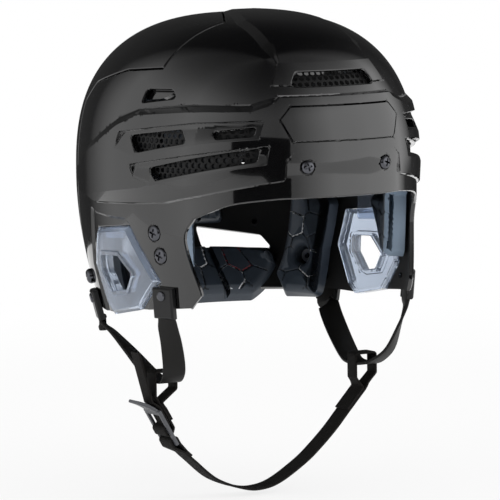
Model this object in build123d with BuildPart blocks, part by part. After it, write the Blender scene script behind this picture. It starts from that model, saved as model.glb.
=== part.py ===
"""Ice hockey helmet with a two-piece shell, foam liner, ear covers and a chin harness.

Millimetres. The helmet faces -Y, +Z is up and the wearer's left is +X. The origin is the
middle of the head opening, level with the lower edge of the brow.
"""

import os
from functools import lru_cache
from math import atan2, degrees, radians, sin

from build123d import *

os.makedirs("parts", exist_ok=True)

# Shell form, measured from the origin to the outside of the plain shell
half_width = 105.0
front_reach = 130.0
rear_reach = 142.0
crown_height = 112.0
skirt_depth = 90.0
side_tuck = 5.0
front_tuck = 3.0
rear_tuck = 44.0

# Roundness of the shell: powers of its superellipses, and the handle share of a curve
# that draws a quarter of the level one
planform_power = 2.15
side_power = 2.7
front_power = 2.7
rear_power = 2.4

# Shell walls, raised bands and the lap where the rear shell slides under the front one
shell_wall = 3.0
band_rise = 3.0
ridge_rise = 2.0
seam_gap = 0.8
lap_clearance = 0.6
lap_length = 22.0
size_travel = 8.0

# Fits and cutting allowances
piece_gap = 0.3
running_gap = 0.05
overrun = 20.0

# Hardware
brow_screw_spacing = 61.0
brow_screw_height = 15.5
brow_screw_radius = 2.0
brow_head_radius = 4.6
side_screw_radius = 2.0
side_head_radius = 5.4
screw_head_height = 2.6
counterbore_depth = 1.1
badge_thickness = 1.8
badge_stand = 0.3
counterbore_gap = 0.5
lock_screw_radius = 2.0
lock_head_radius = 5.2
lock_head_height = 4.2
nut_radius = 4.6
nut_height = 2.2
nut_pocket_gap = 0.6
recess_width = 1.3
boss_radius = 6.0
boss_height = 4.0
rivet_head_radius = 3.4
rivet_head_height = 1.5
rivet_shank_radius = 1.8
rivet_foot_height = 1.0

# Liner
front_pad_depth = 13.0
temple_pad_depth = 17.0
side_pad_depth = 12.0
crown_pad_depth = 12.0
rear_pad_depth = 15.0
pad_gap = 3.0
groove_width = 5.0
groove_depth = 6.0
mesh_thickness = 1.4

# Ear covers
ear_cover_thickness = 8.0
ear_cover_stand = 1.4
ear_bevel = 2.2
ear_tab_thickness = 2.0

# Harness
yoke_width = 14.0
yoke_thickness = 2.0
webbing_width = 15.0
webbing_thickness = 1.6
loop_width = 10.0
loop_rise = 6.7
loop_cut_drop = 146.5
fold_radius = 1.7
chin_drop = 215.0
yoke_drop = 133.5
yoke_half_span = 80.0
yoke_back = 17.0
clip_width = 18.0
clip_length = 21.0
clip_thickness = 4.6
clip_face = 2.0
clip_bevel = 1.2
clip_pocket_length = 11.0
clip_rivet_rise = 5.2
buckle_length = 28.0
buckle_width = 21.0
buckle_thickness = 2.4
buckle_corner = 2.0
tab_width = 14.0

# Heights of the shell's level sections
dome_angles = (0, 16, 32, 46, 58, 68, 76, 82, 87)
skirt_level_shares = (-1.25, -0.65)
roundness = (8 * 0.5 ** (1 / planform_power) - 4) / 3


def reach_at(height, reach, crown, power, tuck):
    """Reach of a dome in one direction at one height."""
    if height < 0:
        return reach - tuck * (height / skirt_depth) ** 2
    return reach * (1 - (height / crown) ** power) ** (1 / power)


@lru_cache(maxsize=None)
def dome(half, front, rear, crown, centre=0.0):
    """Closed dome lofted through level superellipse sections."""
    levels = [share * skirt_depth for share in skirt_level_shares]
    levels += [crown * sin(radians(angle)) for angle in dome_angles]
    with BuildPart() as solid:
        for level in levels:
            across = reach_at(level, half, crown, side_power, side_tuck)
            ahead = reach_at(level, front, crown, front_power, front_tuck)
            behind = reach_at(level, rear, crown, rear_power, rear_tuck)
            with BuildSketch(Plane.XY.offset(level)):
                with BuildLine():
                    for x, y in ((across, behind), (-across, behind), (-across, -ahead), (across, -ahead)):
                        start, end = (x, centre), (0, centre + y)
                        handles = (x, centre + y * roundness), (x * roundness, centre + y)
                        if x * y > 0:
                            Bezier(start, *handles, end)
                        else:
                            Bezier(end, *reversed(handles), start)
                make_face()
        loft()
    return solid.part


def shell_dome(growth):
    """The shell's own dome, grown outwards or inwards."""
    return dome(half_width + growth, front_reach + growth, rear_reach + growth, crown_height + growth)


def side_points(shares):
    """Points of a side outline: lengthwise and upright shares of the shell's reaches."""
    points = []
    for y_share, z_share in shares:
        y = y_share * (front_reach if y_share < 0 else rear_reach)
        z = z_share * (crown_height if z_share > 0 else skirt_depth)
        points.append((y, z))
    return points


def front_points(shares):
    """Points of a front outline, given for one half and closed by its mirror image."""
    half = []
    for x_share, z_share in shares:
        half.append((x_share * half_width, z_share * (crown_height if z_share > 0 else skirt_depth)))
    return half + [(-x, z) for x, z in reversed(half)]


def side_prism(shares, grow=0.0):
    """Prism across the whole helmet on a side outline."""
    with BuildPart() as prism:
        with BuildSketch(Plane.YZ):
            with BuildLine():
                Polyline(*side_points(shares), close=True)
            make_face()
            if grow:
                offset(amount=grow, kind=Kind.INTERSECTION)
        extrude(amount=half_width + overrun, both=True)
    return prism.part


def front_prism(shares, grow=0.0):
    """Prism through the front half on a front outline."""
    with BuildPart() as prism:
        with BuildSketch(Plane.XZ):
            with BuildLine():
                Polyline(*front_points(shares), close=True)
            make_face()
            if grow:
                offset(amount=grow, kind=Kind.INTERSECTION)
        extrude(amount=front_reach + overrun)
    return prism.part


def wall_plane(start, direction, growth):
    """Plane on the shell where a line through its inside leaves it, facing outwards, upright."""
    place, outward = shell_dome(growth).find_intersection_points(Axis(start, direction))[-1]
    return Plane(origin=place, x_dir=Vector(0, 0, 1).cross(outward), z_dir=outward)


def surface_plane(side, y, z, growth=0.0):
    """Plane on a side of the shell at a given place; side is -1 for the wearer's right."""
    return wall_plane((0, y, z), (side, 0, 0), growth)


def brow_plane(x, z, growth=0.0):
    """Plane on the front of the shell at a given place."""
    return wall_plane((x, 0, z), (0, -1, 0), growth)


def rod(plane, radius, top, bottom):
    """Round bar along a plane's normal, from one height above it to another."""
    with BuildPart() as bar:
        with BuildSketch(plane.offset(bottom)):
            Circle(radius)
        extrude(amount=top - bottom)
    return bar.part


def screw(plane, radius, head_radius, head_height, length):
    """Domed cross-head screw: its head stands on the plane and its shank runs below it."""
    with BuildPart() as body:
        with BuildSketch(plane):
            Circle(head_radius)
        extrude(amount=head_height)
        top = body.faces().sort_by(lambda face: face.center().dot(plane.z_dir))[-1]
        fillet(top.edges(), head_height * 0.6)
        with BuildSketch(plane):
            Circle(radius)
        extrude(amount=-length)
        with BuildSketch(plane.offset(head_height)):
            Rectangle(head_radius, recess_width)
            Rectangle(recess_width, head_radius)
        extrude(amount=-head_height / 2, mode=Mode.SUBTRACT)
    return body.part


def nut(plane, radius, depth):
    """Flanged nut: its flange is at a depth below the plane."""
    with BuildPart() as body:
        with BuildSketch(plane.offset(-depth - nut_height)):
            Circle(nut_radius)
            Circle(radius + running_gap, mode=Mode.SUBTRACT)
        extrude(amount=nut_height)
    return body.part


# Outlines of the shell, as shares of its reaches
face_opening_curve_shares = [(-0.92, -0.06), (-0.77, -0.10), (-0.677, -0.155), (-0.585, -0.217)]
face_opening_curve_shares += [(-0.533, -0.333), (-0.544, -0.489), (-0.60, -0.755)]
face_opening_frame_shares = [(-0.62, -1.5), (-1.3, -1.5), (-1.3, -0.05)]
front_hem_shares = [(-1.3, -0.76), (-0.60, -0.78), (-0.54, -0.88), (-0.18, -0.93), (0.13, -0.99)]
front_hem_shares += [(0.80, -0.97), (0.80, -1.5), (-1.3, -1.5)]
rear_hem_shares = [(0.2, -0.99), (1.3, -0.99), (1.3, -1.5), (0.2, -1.5)]
ear_cover_shares = [(0.197, -0.356), (-0.123, -0.304), (-0.344, -0.697), (-0.185, -0.929)]
ear_cover_shares += [(0.085, -1.0), (0.141, -0.933), (0.246, -0.633)]
ear_slot_shares = [(-0.185, -0.90), (0.10, -0.90), (0.12, -1.5), (-0.185, -1.5)]
ear_hole_shares = [(0.141, -0.55), (-0.027, -0.536), (-0.15, -0.66), (-0.095, -0.782)]
ear_hole_shares += [(0.053, -0.814), (0.138, -0.673)]

side_band_shares = [(-0.86, 0.545), (-0.79, 0.495), (-0.54, 0.49), (-0.21, 0.46), (-0.03, 0.39)]
side_band_shares += [(0.29, 0.196), (0.42, 0.07), (0.40, -0.09), (0.18, -0.16), (-0.16, -0.135)]
side_band_shares += [(-0.43, -0.11), (-0.635, -0.045), (-0.93, 0.054), (-0.93, 0.25), (-0.90, 0.42)]
upper_recess_shares = [(-0.07, 0.32), (-0.59, 0.395), (-0.85, 0.41), (-0.85, 0.30), (-0.69, 0.28)]
upper_recess_shares += [(-0.55, 0.255), (-0.24, 0.18), (-0.04, 0.22)]
lower_recess_shares = [(-0.177, 0.134), (-0.885, 0.268), (-0.88, 0.152), (-0.335, 0.015), (-0.21, 0.055)]
side_vent_shares = [
    [(-0.146, 0.303), (-0.51, 0.354), (-0.552, 0.277), (-0.224, 0.205)],
    [(-0.66, 0.345), (-0.83, 0.374), (-0.83, 0.322), (-0.695, 0.303)],
    [(-0.307, 0.117), (-0.855, 0.252), (-0.85, 0.175), (-0.377, 0.049)],
    [(-0.21, 0.58), (-0.39, 0.585), (-0.44, 0.535), (-0.196, 0.498)],
]
brow_band_shares = [(0.40, 0.545), (0.50, 0.446), (0.50, 0.27), (0.54, 0.054), (0.62, -0.12)]
badge_shares = [(0.352, 0.486), (0.424, 0.411), (0.365, 0.279)]
front_vent_shares = [(0.252, 0.68), (0.314, 0.602)]
ridge_shares = [(0.127, 0.061), (0.333, -0.36), (0.35, -0.636), (0.31, -0.746)]

seam_shares = [(-0.29, 1.5), (-0.255, 0.705), (0.04, 0.68), (0.35, 0.588), (0.465, 0.464), (0.507, 0.05)]
seam_shares += [(0.515, -0.667), (0.50, -1.5), (1.5, -1.5), (1.5, 1.5)]
crown_wedge_shares = [(0.386, -0.308), (0.127, 0.061)]
rear_vent_shares = [(0.29, -0.53), (0.29, -0.70), (0.70, -0.70), (0.66, -0.60)]
rear_upper_vent_shares = [(0.28, 0.30), (0.28, 0.40), (0.56, 0.34), (0.60, 0.26)]
rear_lower_vent_shares = [(0.30, -0.10), (0.30, 0.01), (0.66, -0.03), (0.68, -0.11)]

side_screw_place_shares = [(-0.336, -0.336), (-0.372, -0.504)]
lock_screw_place_share = (0.401, -0.755)
front_clip_place_shares = (-0.388, -0.85)
rear_clip_place_shares = (0.317, -0.955)
rear_rivet_place_shares = (0.725, -0.50)


def zone_behind_seam(grow):
    """Everything behind the seam between the two shells, moved forwards by a given amount."""
    with BuildPart() as zone:
        add(side_prism(seam_shares, grow))
        with BuildSketch(Plane.XY.offset(crown_height / 2)):
            with BuildLine():
                corners = [
                    (half_width * x, y * (front_reach if y < 0 else rear_reach))
                    for x, y in crown_wedge_shares
                ]
                Polyline(*corners, *[(-x, y) for x, y in reversed(corners)], close=True)
            make_face()
            offset(amount=-grow, kind=Kind.INTERSECTION)
        extrude(amount=crown_height, mode=Mode.SUBTRACT)
    return zone.part


def face_opening():
    """Prism of the face opening, with its rounded temples."""
    with BuildPart() as opening:
        with BuildSketch(Plane.YZ):
            with BuildLine():
                curve = side_points(face_opening_curve_shares)
                frame = side_points(face_opening_frame_shares)
                Spline(*curve)
                Polyline(curve[-1], *frame, curve[0])
            make_face()
        extrude(amount=half_width + overrun, both=True)
    return opening.part


def raised(shares_prism, rise, cuts=None):
    """Raised area of the shell inside an outline."""
    with BuildPart() as area:
        add(shell_dome(rise))
        add(shares_prism, mode=Mode.INTERSECT)
        if cuts:
            add(cuts, mode=Mode.SUBTRACT)
    return area.part


def crown_ridge():
    """Raised ridge along the front half of the crown."""
    with BuildPart() as prism:
        with BuildSketch(Plane.XY.offset(crown_height / 2)):
            with BuildLine():
                corners = [
                    (half_width * x, y * (front_reach if y < 0 else rear_reach))
                    for x, y in ridge_shares
                ]
                Polyline(*corners, *[(-x, y) for x, y in reversed(corners)], close=True)
            make_face()
        extrude(amount=crown_height)
    return raised(prism.part, ridge_rise)


# Places of the fasteners on the shell
brow_screw_planes = [
    brow_plane(side * brow_screw_spacing / 2, brow_screw_height, band_rise).offset(-counterbore_depth)
    for side in (-1, 1)
]
side_screw_planes = [
    surface_plane(side, y * front_reach, z * skirt_depth).offset(-counterbore_depth)
    for side in (-1, 1)
    for y, z in side_screw_place_shares
]
lock_screw_planes = [
    surface_plane(
        side, lock_screw_place_share[0] * rear_reach, lock_screw_place_share[1] * skirt_depth, running_gap
    )
    for side in (-1, 1)
]
brow_wall = band_rise + shell_wall - counterbore_depth
side_wall = shell_wall - counterbore_depth
lock_wall = shell_wall + lap_clearance + size_travel
clip_planes = [
    surface_plane(1, y_share * reach, z_share * skirt_depth, running_gap)
    for (y_share, z_share), reach in ((front_clip_place_shares, front_reach), (rear_clip_place_shares, rear_reach))
]
rear_rivet_planes = [
    surface_plane(
        side, rear_rivet_place_shares[0] * rear_reach, rear_rivet_place_shares[1] * skirt_depth, running_gap
    )
    for side in (-1, 1)
]
rivet_planes = []
for plane in clip_planes:
    rivet_planes.append(plane.offset(clip_thickness))
    rivet_planes[-1].origin += plane.y_dir * clip_rivet_rise

# Front shell: brow, crown front and the two side wings down to the ears
front_cuts = [face_opening(), side_prism(front_hem_shares), zone_behind_seam(seam_gap)]
front_cuts += [side_prism(ear_cover_shares, piece_gap), side_prism(ear_slot_shares)]
front_cuts += [side_prism(vent) for vent in side_vent_shares]
front_cuts += [front_prism(front_vent_shares)]
side_recesses = [side_prism(upper_recess_shares), side_prism(lower_recess_shares)]

with BuildPart() as badge_pocket:
    add(front_prism(badge_shares, piece_gap))
    add(shell_dome(band_rise - badge_thickness - running_gap), mode=Mode.SUBTRACT)

with BuildPart() as front_shell:
    add(shell_dome(0))
    add(raised(side_prism(side_band_shares), band_rise, side_recesses))
    add(raised(front_prism(brow_band_shares), band_rise))
    add(crown_ridge())
    add(shell_dome(-shell_wall), mode=Mode.SUBTRACT)
    add(front_cuts + [badge_pocket.part], mode=Mode.SUBTRACT)
    for plane in brow_screw_planes:
        add(rod(plane, brow_head_radius + counterbore_gap, screw_head_height, 0), mode=Mode.SUBTRACT)
        add(rod(plane, brow_screw_radius + running_gap, 0, -overrun), mode=Mode.SUBTRACT)
    for plane in side_screw_planes:
        add(rod(plane, side_head_radius + counterbore_gap, screw_head_height, 0), mode=Mode.SUBTRACT)
        add(rod(plane, side_screw_radius + running_gap, 0, -overrun), mode=Mode.SUBTRACT)
    for plane in lock_screw_planes:
        slide = Vector(plane.x_dir.Y, plane.y_dir.Y) * size_travel
        slide_angle = degrees(atan2(slide.Y, slide.X))
        with BuildSketch(plane.offset(-overrun)):
            with Locations(slide / 2):
                SlotCenterToCenter(slide.length, 2 * (lock_screw_radius + piece_gap), rotation=slide_angle)
        extrude(amount=2 * overrun, mode=Mode.SUBTRACT)
    for plane in rivet_planes:
        hole = rod(plane, rivet_shank_radius + running_gap, 0, -overrun)
        add([hole, mirror(hole, about=Plane.YZ, mode=Mode.PRIVATE)], mode=Mode.SUBTRACT)
front_shell.part.label = "front_shell"

# Rear shell: back of the head, with a tongue that slides under the front shell
tongue_sizes = (
    half_width - shell_wall - 2 * lap_clearance - running_gap,
    front_reach - shell_wall - lap_clearance - size_travel / 2,
    rear_reach - shell_wall - lap_clearance - size_travel / 2,
    crown_height - shell_wall - 2 * lap_clearance,
)


def tongue_dome(growth):
    """The dome of the rear shell's tongue, set forwards so that it stays clear as it slides back."""
    return dome(*[size + growth for size in tongue_sizes], centre=-size_travel / 2)


def rear_prism(shares):
    """Prism through the rear half on both mirrored copies of an outline."""
    with BuildPart() as prism:
        for side in (-1, 1):
            with BuildSketch(Plane.XZ):
                with BuildLine():
                    points = [
                        (side * x * half_width, z * (crown_height if z > 0 else skirt_depth))
                        for x, z in shares
                    ]
                    Polyline(*points, close=True)
                make_face()
            extrude(amount=-(rear_reach + overrun))
    return prism.part


with BuildPart() as rear_tongue:
    add(tongue_dome(0))
    add(side_prism(seam_shares, lap_length), mode=Mode.INTERSECT)

with BuildPart() as rear_hollow:
    add(shell_dome(-shell_wall))
    add(zone_behind_seam(-shell_wall), mode=Mode.INTERSECT)
    add(tongue_dome(-shell_wall))

with BuildPart() as rear_shell:
    add(shell_dome(0))
    add(zone_behind_seam(0), mode=Mode.INTERSECT)
    add(rear_tongue.part)
    add(rear_hollow.part, mode=Mode.SUBTRACT)
    add(side_prism(rear_hem_shares), mode=Mode.SUBTRACT)
    vents = (rear_vent_shares, rear_upper_vent_shares, rear_lower_vent_shares)
    add([rear_prism(vent) for vent in vents], mode=Mode.SUBTRACT)
    for plane in lock_screw_planes:
        add(rod(plane, boss_radius, boss_height - lock_wall, -lock_wall))
        add(rod(plane, lock_screw_radius + running_gap, 0, -overrun), mode=Mode.SUBTRACT)
    for plane in rear_rivet_planes:
        add(rod(plane, rivet_shank_radius + running_gap, overrun, -overrun), mode=Mode.SUBTRACT)
rear_shell.part.label = "rear_shell"

# Badge plate, set flush in the brow
with BuildPart() as brow_plate:
    add(shell_dome(band_rise + badge_stand))
    add(front_prism(badge_shares), mode=Mode.INTERSECT)
    add(shell_dome(band_rise - badge_thickness), mode=Mode.SUBTRACT)
brow_plate.part.label = "brow_plate"

# Screws and the nuts behind the shells
with BuildPart() as brow_screws:
    for plane in brow_screw_planes:
        length = brow_wall + nut_height + piece_gap
        add(screw(plane, brow_screw_radius, brow_head_radius, screw_head_height, length))
brow_screws.part.label = "brow_screws"

with BuildPart() as brow_nuts:
    for plane in brow_screw_planes:
        add(nut(plane, brow_screw_radius, brow_wall + piece_gap))
brow_nuts.part.label = "brow_nuts"

with BuildPart() as side_screws:
    for plane in side_screw_planes:
        length = side_wall + nut_height + piece_gap
        add(screw(plane, side_screw_radius, side_head_radius, screw_head_height, length))
side_screws.part.label = "side_screws"

with BuildPart() as side_nuts:
    for plane in side_screw_planes:
        add(nut(plane, side_screw_radius, side_wall + piece_gap))
side_nuts.part.label = "side_nuts"

with BuildPart() as size_lock_screws:
    for plane in lock_screw_planes:
        add(screw(plane, lock_screw_radius, lock_head_radius, lock_head_height, lock_wall + nut_height))
size_lock_screws.part.label = "size_lock_screws"

with BuildPart() as size_lock_nuts:
    for plane in lock_screw_planes:
        add(nut(plane, lock_screw_radius, lock_wall))
size_lock_nuts.part.label = "size_lock_nuts"

# Ear covers: curved hexagonal plates with a hexagonal hole and a tab behind the shell
ear_tab_shares = [(0.11, -0.42), (0.11, -0.18), (-0.07, -0.18), (-0.07, -0.40)]

with BuildPart() as ear_raised_face:
    add(shell_dome(ear_cover_stand))
    add(side_prism(ear_cover_shares, -ear_bevel), mode=Mode.INTERSECT)

with BuildPart() as ear_tab:
    add(shell_dome(-shell_wall - piece_gap))
    add(side_prism(ear_tab_shares), mode=Mode.INTERSECT)
    add(shell_dome(-shell_wall - piece_gap - ear_tab_thickness), mode=Mode.SUBTRACT)

with BuildPart() as ear_covers:
    add(shell_dome(ear_cover_stand - ear_bevel))
    add(side_prism(ear_cover_shares), mode=Mode.INTERSECT)
    add(ear_raised_face.part)
    add(shell_dome(ear_cover_stand - ear_cover_thickness), mode=Mode.SUBTRACT)
    add(side_prism(ear_hole_shares), mode=Mode.SUBTRACT)
    add(ear_tab.part)

# Liner: foam pads and meshes cut from layers that follow the shells
mesh_shares = [(-0.03, 0.36), (-0.62, 0.44), (-0.85, 0.44), (-0.85, 0.13), (-0.36, 0.005), (-0.10, 0.10)]
front_mesh_shares = [(0.29, 0.74), (0.36, 0.56)]
front_pad_shares = [(0.46, 0.46), (0.58, 0.36), (0.58, -0.02), (0.50, -0.06)]
temple_pad_shares = [(-0.78, 0.30), (-0.37, 0.30), (-0.375, -0.18), (-0.18, -0.18), (-0.18, -0.27)]
temple_pad_shares += [(-0.36, -0.57), (-0.40, -0.62), (-0.52, -0.64), (-0.55, -0.58), (-0.575, -0.30)]
temple_pad_shares += [(-0.59, -0.14), (-0.74, 0.02)]
side_pad_shares = [(-0.31, 0.42), (0.28, 0.31), (0.28, -0.10), (-0.34, -0.14)]
crown_pad_shares = [(-0.40, 1.2), (-0.40, 0.70), (0.30, 0.70), (0.30, 1.2)]
crown_pad_width_share = 0.42
rear_side_pad_shares = [(0.34, 0.22), (0.455, 0.22), (0.475, -0.20), (0.475, -1.04)]
rear_side_pad_shares += [(0.262, -1.04), (0.262, -0.66), (0.225, -0.30), (0.31, -0.14)]
rear_side_pad_inner_share = 0.62
occipital_pad_shares = [(0.69, -0.72), (0.67, -1.00), (0.56, -1.08)]
occipital_limit_shares = [(0.0, -0.40), (0.545, -0.40), (0.545, -1.30), (0.0, -1.30)]
rear_centre_pad_shares = [(0.31, 0.24), (0.46, 0.04), (0.46, -0.50)]
groove_share = 0.285
liner_skin = shell_wall + piece_gap


def layer(outer, inner, outline):
    """Layer between two domes inside an outline."""
    with BuildPart() as body:
        add(outer)
        add(outline, mode=Mode.INTERSECT)
        add(inner, mode=Mode.SUBTRACT)
    return body.part


def back_prism(shares):
    """Prism through the rear half on an outline given for one half."""
    with BuildPart() as prism:
        with BuildSketch(Plane.XZ):
            with BuildLine():
                Polyline(*front_points(shares), close=True)
            make_face()
        extrude(amount=-(rear_reach + overrun))
    return prism.part


# Meshes behind the vents
side_mesh_prism = side_prism(mesh_shares)
vent_meshes = layer(shell_dome(-liner_skin), shell_dome(-liner_skin - mesh_thickness), side_mesh_prism)

with BuildPart() as mesh_space:
    add(side_prism(mesh_shares, piece_gap))
    add(shell_dome(-liner_skin - mesh_thickness - piece_gap), mode=Mode.SUBTRACT)

with BuildPart() as front_vent_mesh:
    add(shell_dome(-liner_skin))
    add(front_prism(front_mesh_shares), mode=Mode.INTERSECT)
    add(shell_dome(-liner_skin - mesh_thickness), mode=Mode.SUBTRACT)
front_vent_mesh.part.label = "front_vent_mesh"

# Front liner: forehead pad, two temple pads and two side pads
nut_pockets = [
    rod(plane, nut_radius + nut_pocket_gap, 0, -wall - nut_height - piece_gap - nut_pocket_gap)
    for planes, wall in ((brow_screw_planes, brow_wall), (side_screw_planes, side_wall))
    for plane in planes
]

with BuildPart() as front_pad:
    outline = front_prism(front_pad_shares)
    add(layer(shell_dome(-liner_skin), shell_dome(-liner_skin - front_pad_depth), outline))
    add([mesh_space.part] + nut_pockets, mode=Mode.SUBTRACT)
front_pad.part.label = "front_pad"

with BuildPart() as temple_pads:
    outline = side_prism(temple_pad_shares)
    add(layer(shell_dome(-liner_skin), shell_dome(-liner_skin - temple_pad_depth), outline))
    add([mesh_space.part, front_prism(front_pad_shares, pad_gap)] + nut_pockets, mode=Mode.SUBTRACT)

with BuildPart() as side_pads:
    add(layer(shell_dome(-liner_skin), shell_dome(-liner_skin - side_pad_depth), side_prism(side_pad_shares)))
    add([mesh_space.part] + nut_pockets, mode=Mode.SUBTRACT)

# Rear liner: crown pad, centre pad, lobed pad low at the back and two rear side pads
with BuildPart() as crown_pad:
    outline = side_prism(crown_pad_shares)
    add(layer(tongue_dome(-liner_skin), tongue_dome(-liner_skin - crown_pad_depth), outline))
    Box(2 * crown_pad_width_share * half_width, 4 * rear_reach, 4 * crown_height, mode=Mode.INTERSECT)
crown_pad.part.label = "crown_pad"

with BuildPart() as pad_grooves:
    with BuildSketch(Plane.XZ):
        with Locations((groove_share * half_width, 0), (-groove_share * half_width, 0)):
            Rectangle(groove_width, 4 * skirt_depth)
    extrude(amount=-(rear_reach + overrun))
    add(shell_dome(-liner_skin - rear_pad_depth + groove_depth), mode=Mode.INTERSECT)

with BuildPart() as occipital_pad:
    outline = back_prism(occipital_pad_shares)
    add(layer(shell_dome(-liner_skin), shell_dome(-liner_skin - rear_pad_depth), outline))
    add([pad_grooves.part, side_prism(occipital_limit_shares)], mode=Mode.SUBTRACT)
occipital_pad.part.label = "occipital_pad"

with BuildPart() as rear_centre_pad:
    outline = back_prism(rear_centre_pad_shares)
    add(layer(shell_dome(-liner_skin), shell_dome(-liner_skin - rear_pad_depth), outline))
    add(pad_grooves.part, mode=Mode.SUBTRACT)
rear_centre_pad.part.label = "rear_centre_pad"

with BuildPart() as rear_side_pads:
    outline = side_prism(rear_side_pad_shares)
    add(layer(tongue_dome(-liner_skin), tongue_dome(-liner_skin - rear_pad_depth), outline))
    Box(2 * rear_side_pad_inner_share * half_width, 4 * rear_reach, 4 * crown_height, mode=Mode.SUBTRACT)
    for plane in lock_screw_planes:
        add(rod(plane, boss_radius + nut_pocket_gap, 0, -2 * overrun), mode=Mode.SUBTRACT)


def both_sides(half):
    """A left solid together with its mirror image on the wearer's right."""
    with BuildPart() as pair:
        add(half)
        mirror(about=Plane.YZ)
    return pair.part


# Strap clips: bevelled plates riveted over the strap ends
def clip(plane, rivet_plane):
    """Bevelled plate on the shell with a pocket for the strap end behind it."""
    with BuildPart() as plate:
        with BuildSketch(plane):
            Rectangle(clip_width, clip_length)
        extrude(amount=clip_thickness)
        chamfer(plate.faces().sort_by(lambda face: face.center().dot(plane.z_dir))[-1].edges(), clip_bevel)
        with BuildSketch(plane):
            with Locations((0, -clip_length / 2)):
                Rectangle(yoke_width + 2 * piece_gap, 2 * clip_pocket_length)
        extrude(amount=clip_thickness - clip_face, mode=Mode.SUBTRACT)
        add(rod(rivet_plane, rivet_shank_radius + running_gap, overrun, -overrun), mode=Mode.SUBTRACT)
    return plate.part


front_strap_clips, rear_strap_clips = [both_sides(clip(*planes)) for planes in zip(clip_planes, rivet_planes)]


def rivet(plane, grip):
    """Domed rivet with a flat foot behind the wall it holds."""
    with BuildPart() as body:
        with BuildSketch(plane.offset(running_gap)):
            Circle(rivet_head_radius)
        extrude(amount=rivet_head_height)
        top = body.faces().sort_by(lambda face: face.center().dot(plane.z_dir))[-1]
        fillet(top.edges(), rivet_head_height * 0.6)
        add(rod(plane, rivet_shank_radius, running_gap, -grip))
        add(rod(plane, rivet_head_radius, -grip, -grip - rivet_foot_height))
    return body.part


with BuildPart() as strap_rivet_halves:
    for plane in rivet_planes:
        add(rivet(plane, clip_thickness + shell_wall + 2 * piece_gap))
strap_rivets = both_sides(strap_rivet_halves.part)

with BuildPart() as rear_rivets:
    for plane in rear_rivet_planes:
        add(rivet(plane, shell_wall + 2 * piece_gap))
rear_rivets.part.label = "rear_rivets"

# Yoke straps: one strap a side, from the front clip down round the chin strap's loop to the rear clip
yoke_shares = [
    ((0.900, -0.390, -0.700), (0.47, 0.88)),
    ((0.866, -0.375, -0.790), (0.64, 0.77)),
    ((0.824, -0.338, -0.910), (0.85, 0.53)),
    ((0.786, -0.265, -0.976), (0.97, 0.24)),
    ((0.762, -0.190, -1.000), (1, 0)),
    ((0.762, -0.070, -1.000), (1, 0)),
    ((0.771, 0.000, -0.970), (0.97, -0.24)),
    ((0.800, 0.120, -0.880), (0.83, -0.56)),
    ((0.836, 0.230, -0.795), (0.60, -0.80)),
    ((0.868, 0.298, -0.745), (0.46, -0.89)),
]


def yoke_stations():
    """Middle of the left yoke strap and the direction across it, from clip to clip."""
    ends = []
    for plane, turn in zip(clip_planes, (1, -1)):
        middle = plane.origin + plane.z_dir * (piece_gap + yoke_thickness / 2)
        runs = (0, clip_length / 2 + piece_gap)
        ends.append([(middle - plane.y_dir * run, plane.x_dir * turn) for run in runs])
    run = []
    for (x, y, z), (across_x, across_y) in yoke_shares:
        y_reach = front_reach if y < 0 else rear_reach
        run.append((Vector(x * half_width, y * y_reach, z * yoke_drop), Vector(across_x, across_y, 0)))
    return ends[0] + run + ends[1][::-1]


with BuildPart() as left_yoke:
    stations = yoke_stations()
    for index, (middle, across) in enumerate(stations):
        before = stations[max(index - 1, 0)][0]
        after = stations[min(index + 1, len(stations) - 1)][0]
        along = (after - before).normalized()
        with BuildSketch(Plane(origin=middle, x_dir=across - along * across.dot(along), z_dir=along)):
            Rectangle(yoke_width, yoke_thickness)
    loft(ruled=True)

# Chin webbing: flat ribbons in one upright plane, drawn edge-on and extruded to their width
webbing_plane = Plane.XZ.offset(yoke_back)
loop_wall = yoke_width / 2 + piece_gap + webbing_thickness / 2
loop_top = loop_rise - yoke_drop
buckle_base_shares = (-0.705, -0.823)
buckle_direction = Vector(-0.504, 0.864)
left_hem_shares = [(0.598, -0.766), (0.727, -0.699)]
left_inner_wall_share = -0.667
left_outer_wall_share = -0.656
left_run_shares = [(0.738, -0.7045), (0.6095, -0.771)]
chin_shares = [(0.6095, -0.771), (0.502, -0.827), (0.381, -0.8805), (0.270, -0.922), (0.086, -0.9735)]
chin_shares += [(-0.048, -0.9915), (-0.190, -0.987), (-0.401, -0.948), (-0.567, -0.882), (-0.633, -0.8535)]
buckle_slot_shares = [(0.12, 0.357), (0.479, 0.879)]
tab_shares = [(0.95, 0), (1.47, 3.83)]
buckle_hem_shares = [(-0.6252, -0.8489), (-0.5929, -0.8626)]
bottom_bar_shares = [(-0.036, 1.125), (0.175, 1.125), (0.175, -1.125), (-0.036, -1.125)]
adjuster_hem_shares = [(0.60, -2.54), (1.07, -2.54)]
adjuster_wall_shares = (-0.647, -0.667)
adjuster_run_shares = [(1.10, -1.875), (0.40, -1.875), (0.307, -0.79), (0.307, 1.125), (0.529, 1.125)]
adjuster_run_shares += [(0.529, -1.042), (1.054, -1.042), (1.214, -0.167)]
tail_end_shares = (-0.958, -0.5235)


def strap_points(shares):
    """Points in the webbing plane: shares of the half width and of the drop to the chin."""
    return [(x * half_width, z * chin_drop) for x, z in shares]


def buckle_points(shares):
    """Points in the webbing plane along and off the buckle: shares of its length and thickness."""
    base = Vector(buckle_base_shares[0] * half_width, buckle_base_shares[1] * chin_drop)
    outward = Vector(-buckle_direction.Y, buckle_direction.X)
    points = []
    for along, off in shares:
        point = base + buckle_direction * (along * buckle_length) + outward * (off * buckle_thickness)
        points.append((point.X, point.Y))
    return points


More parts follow.
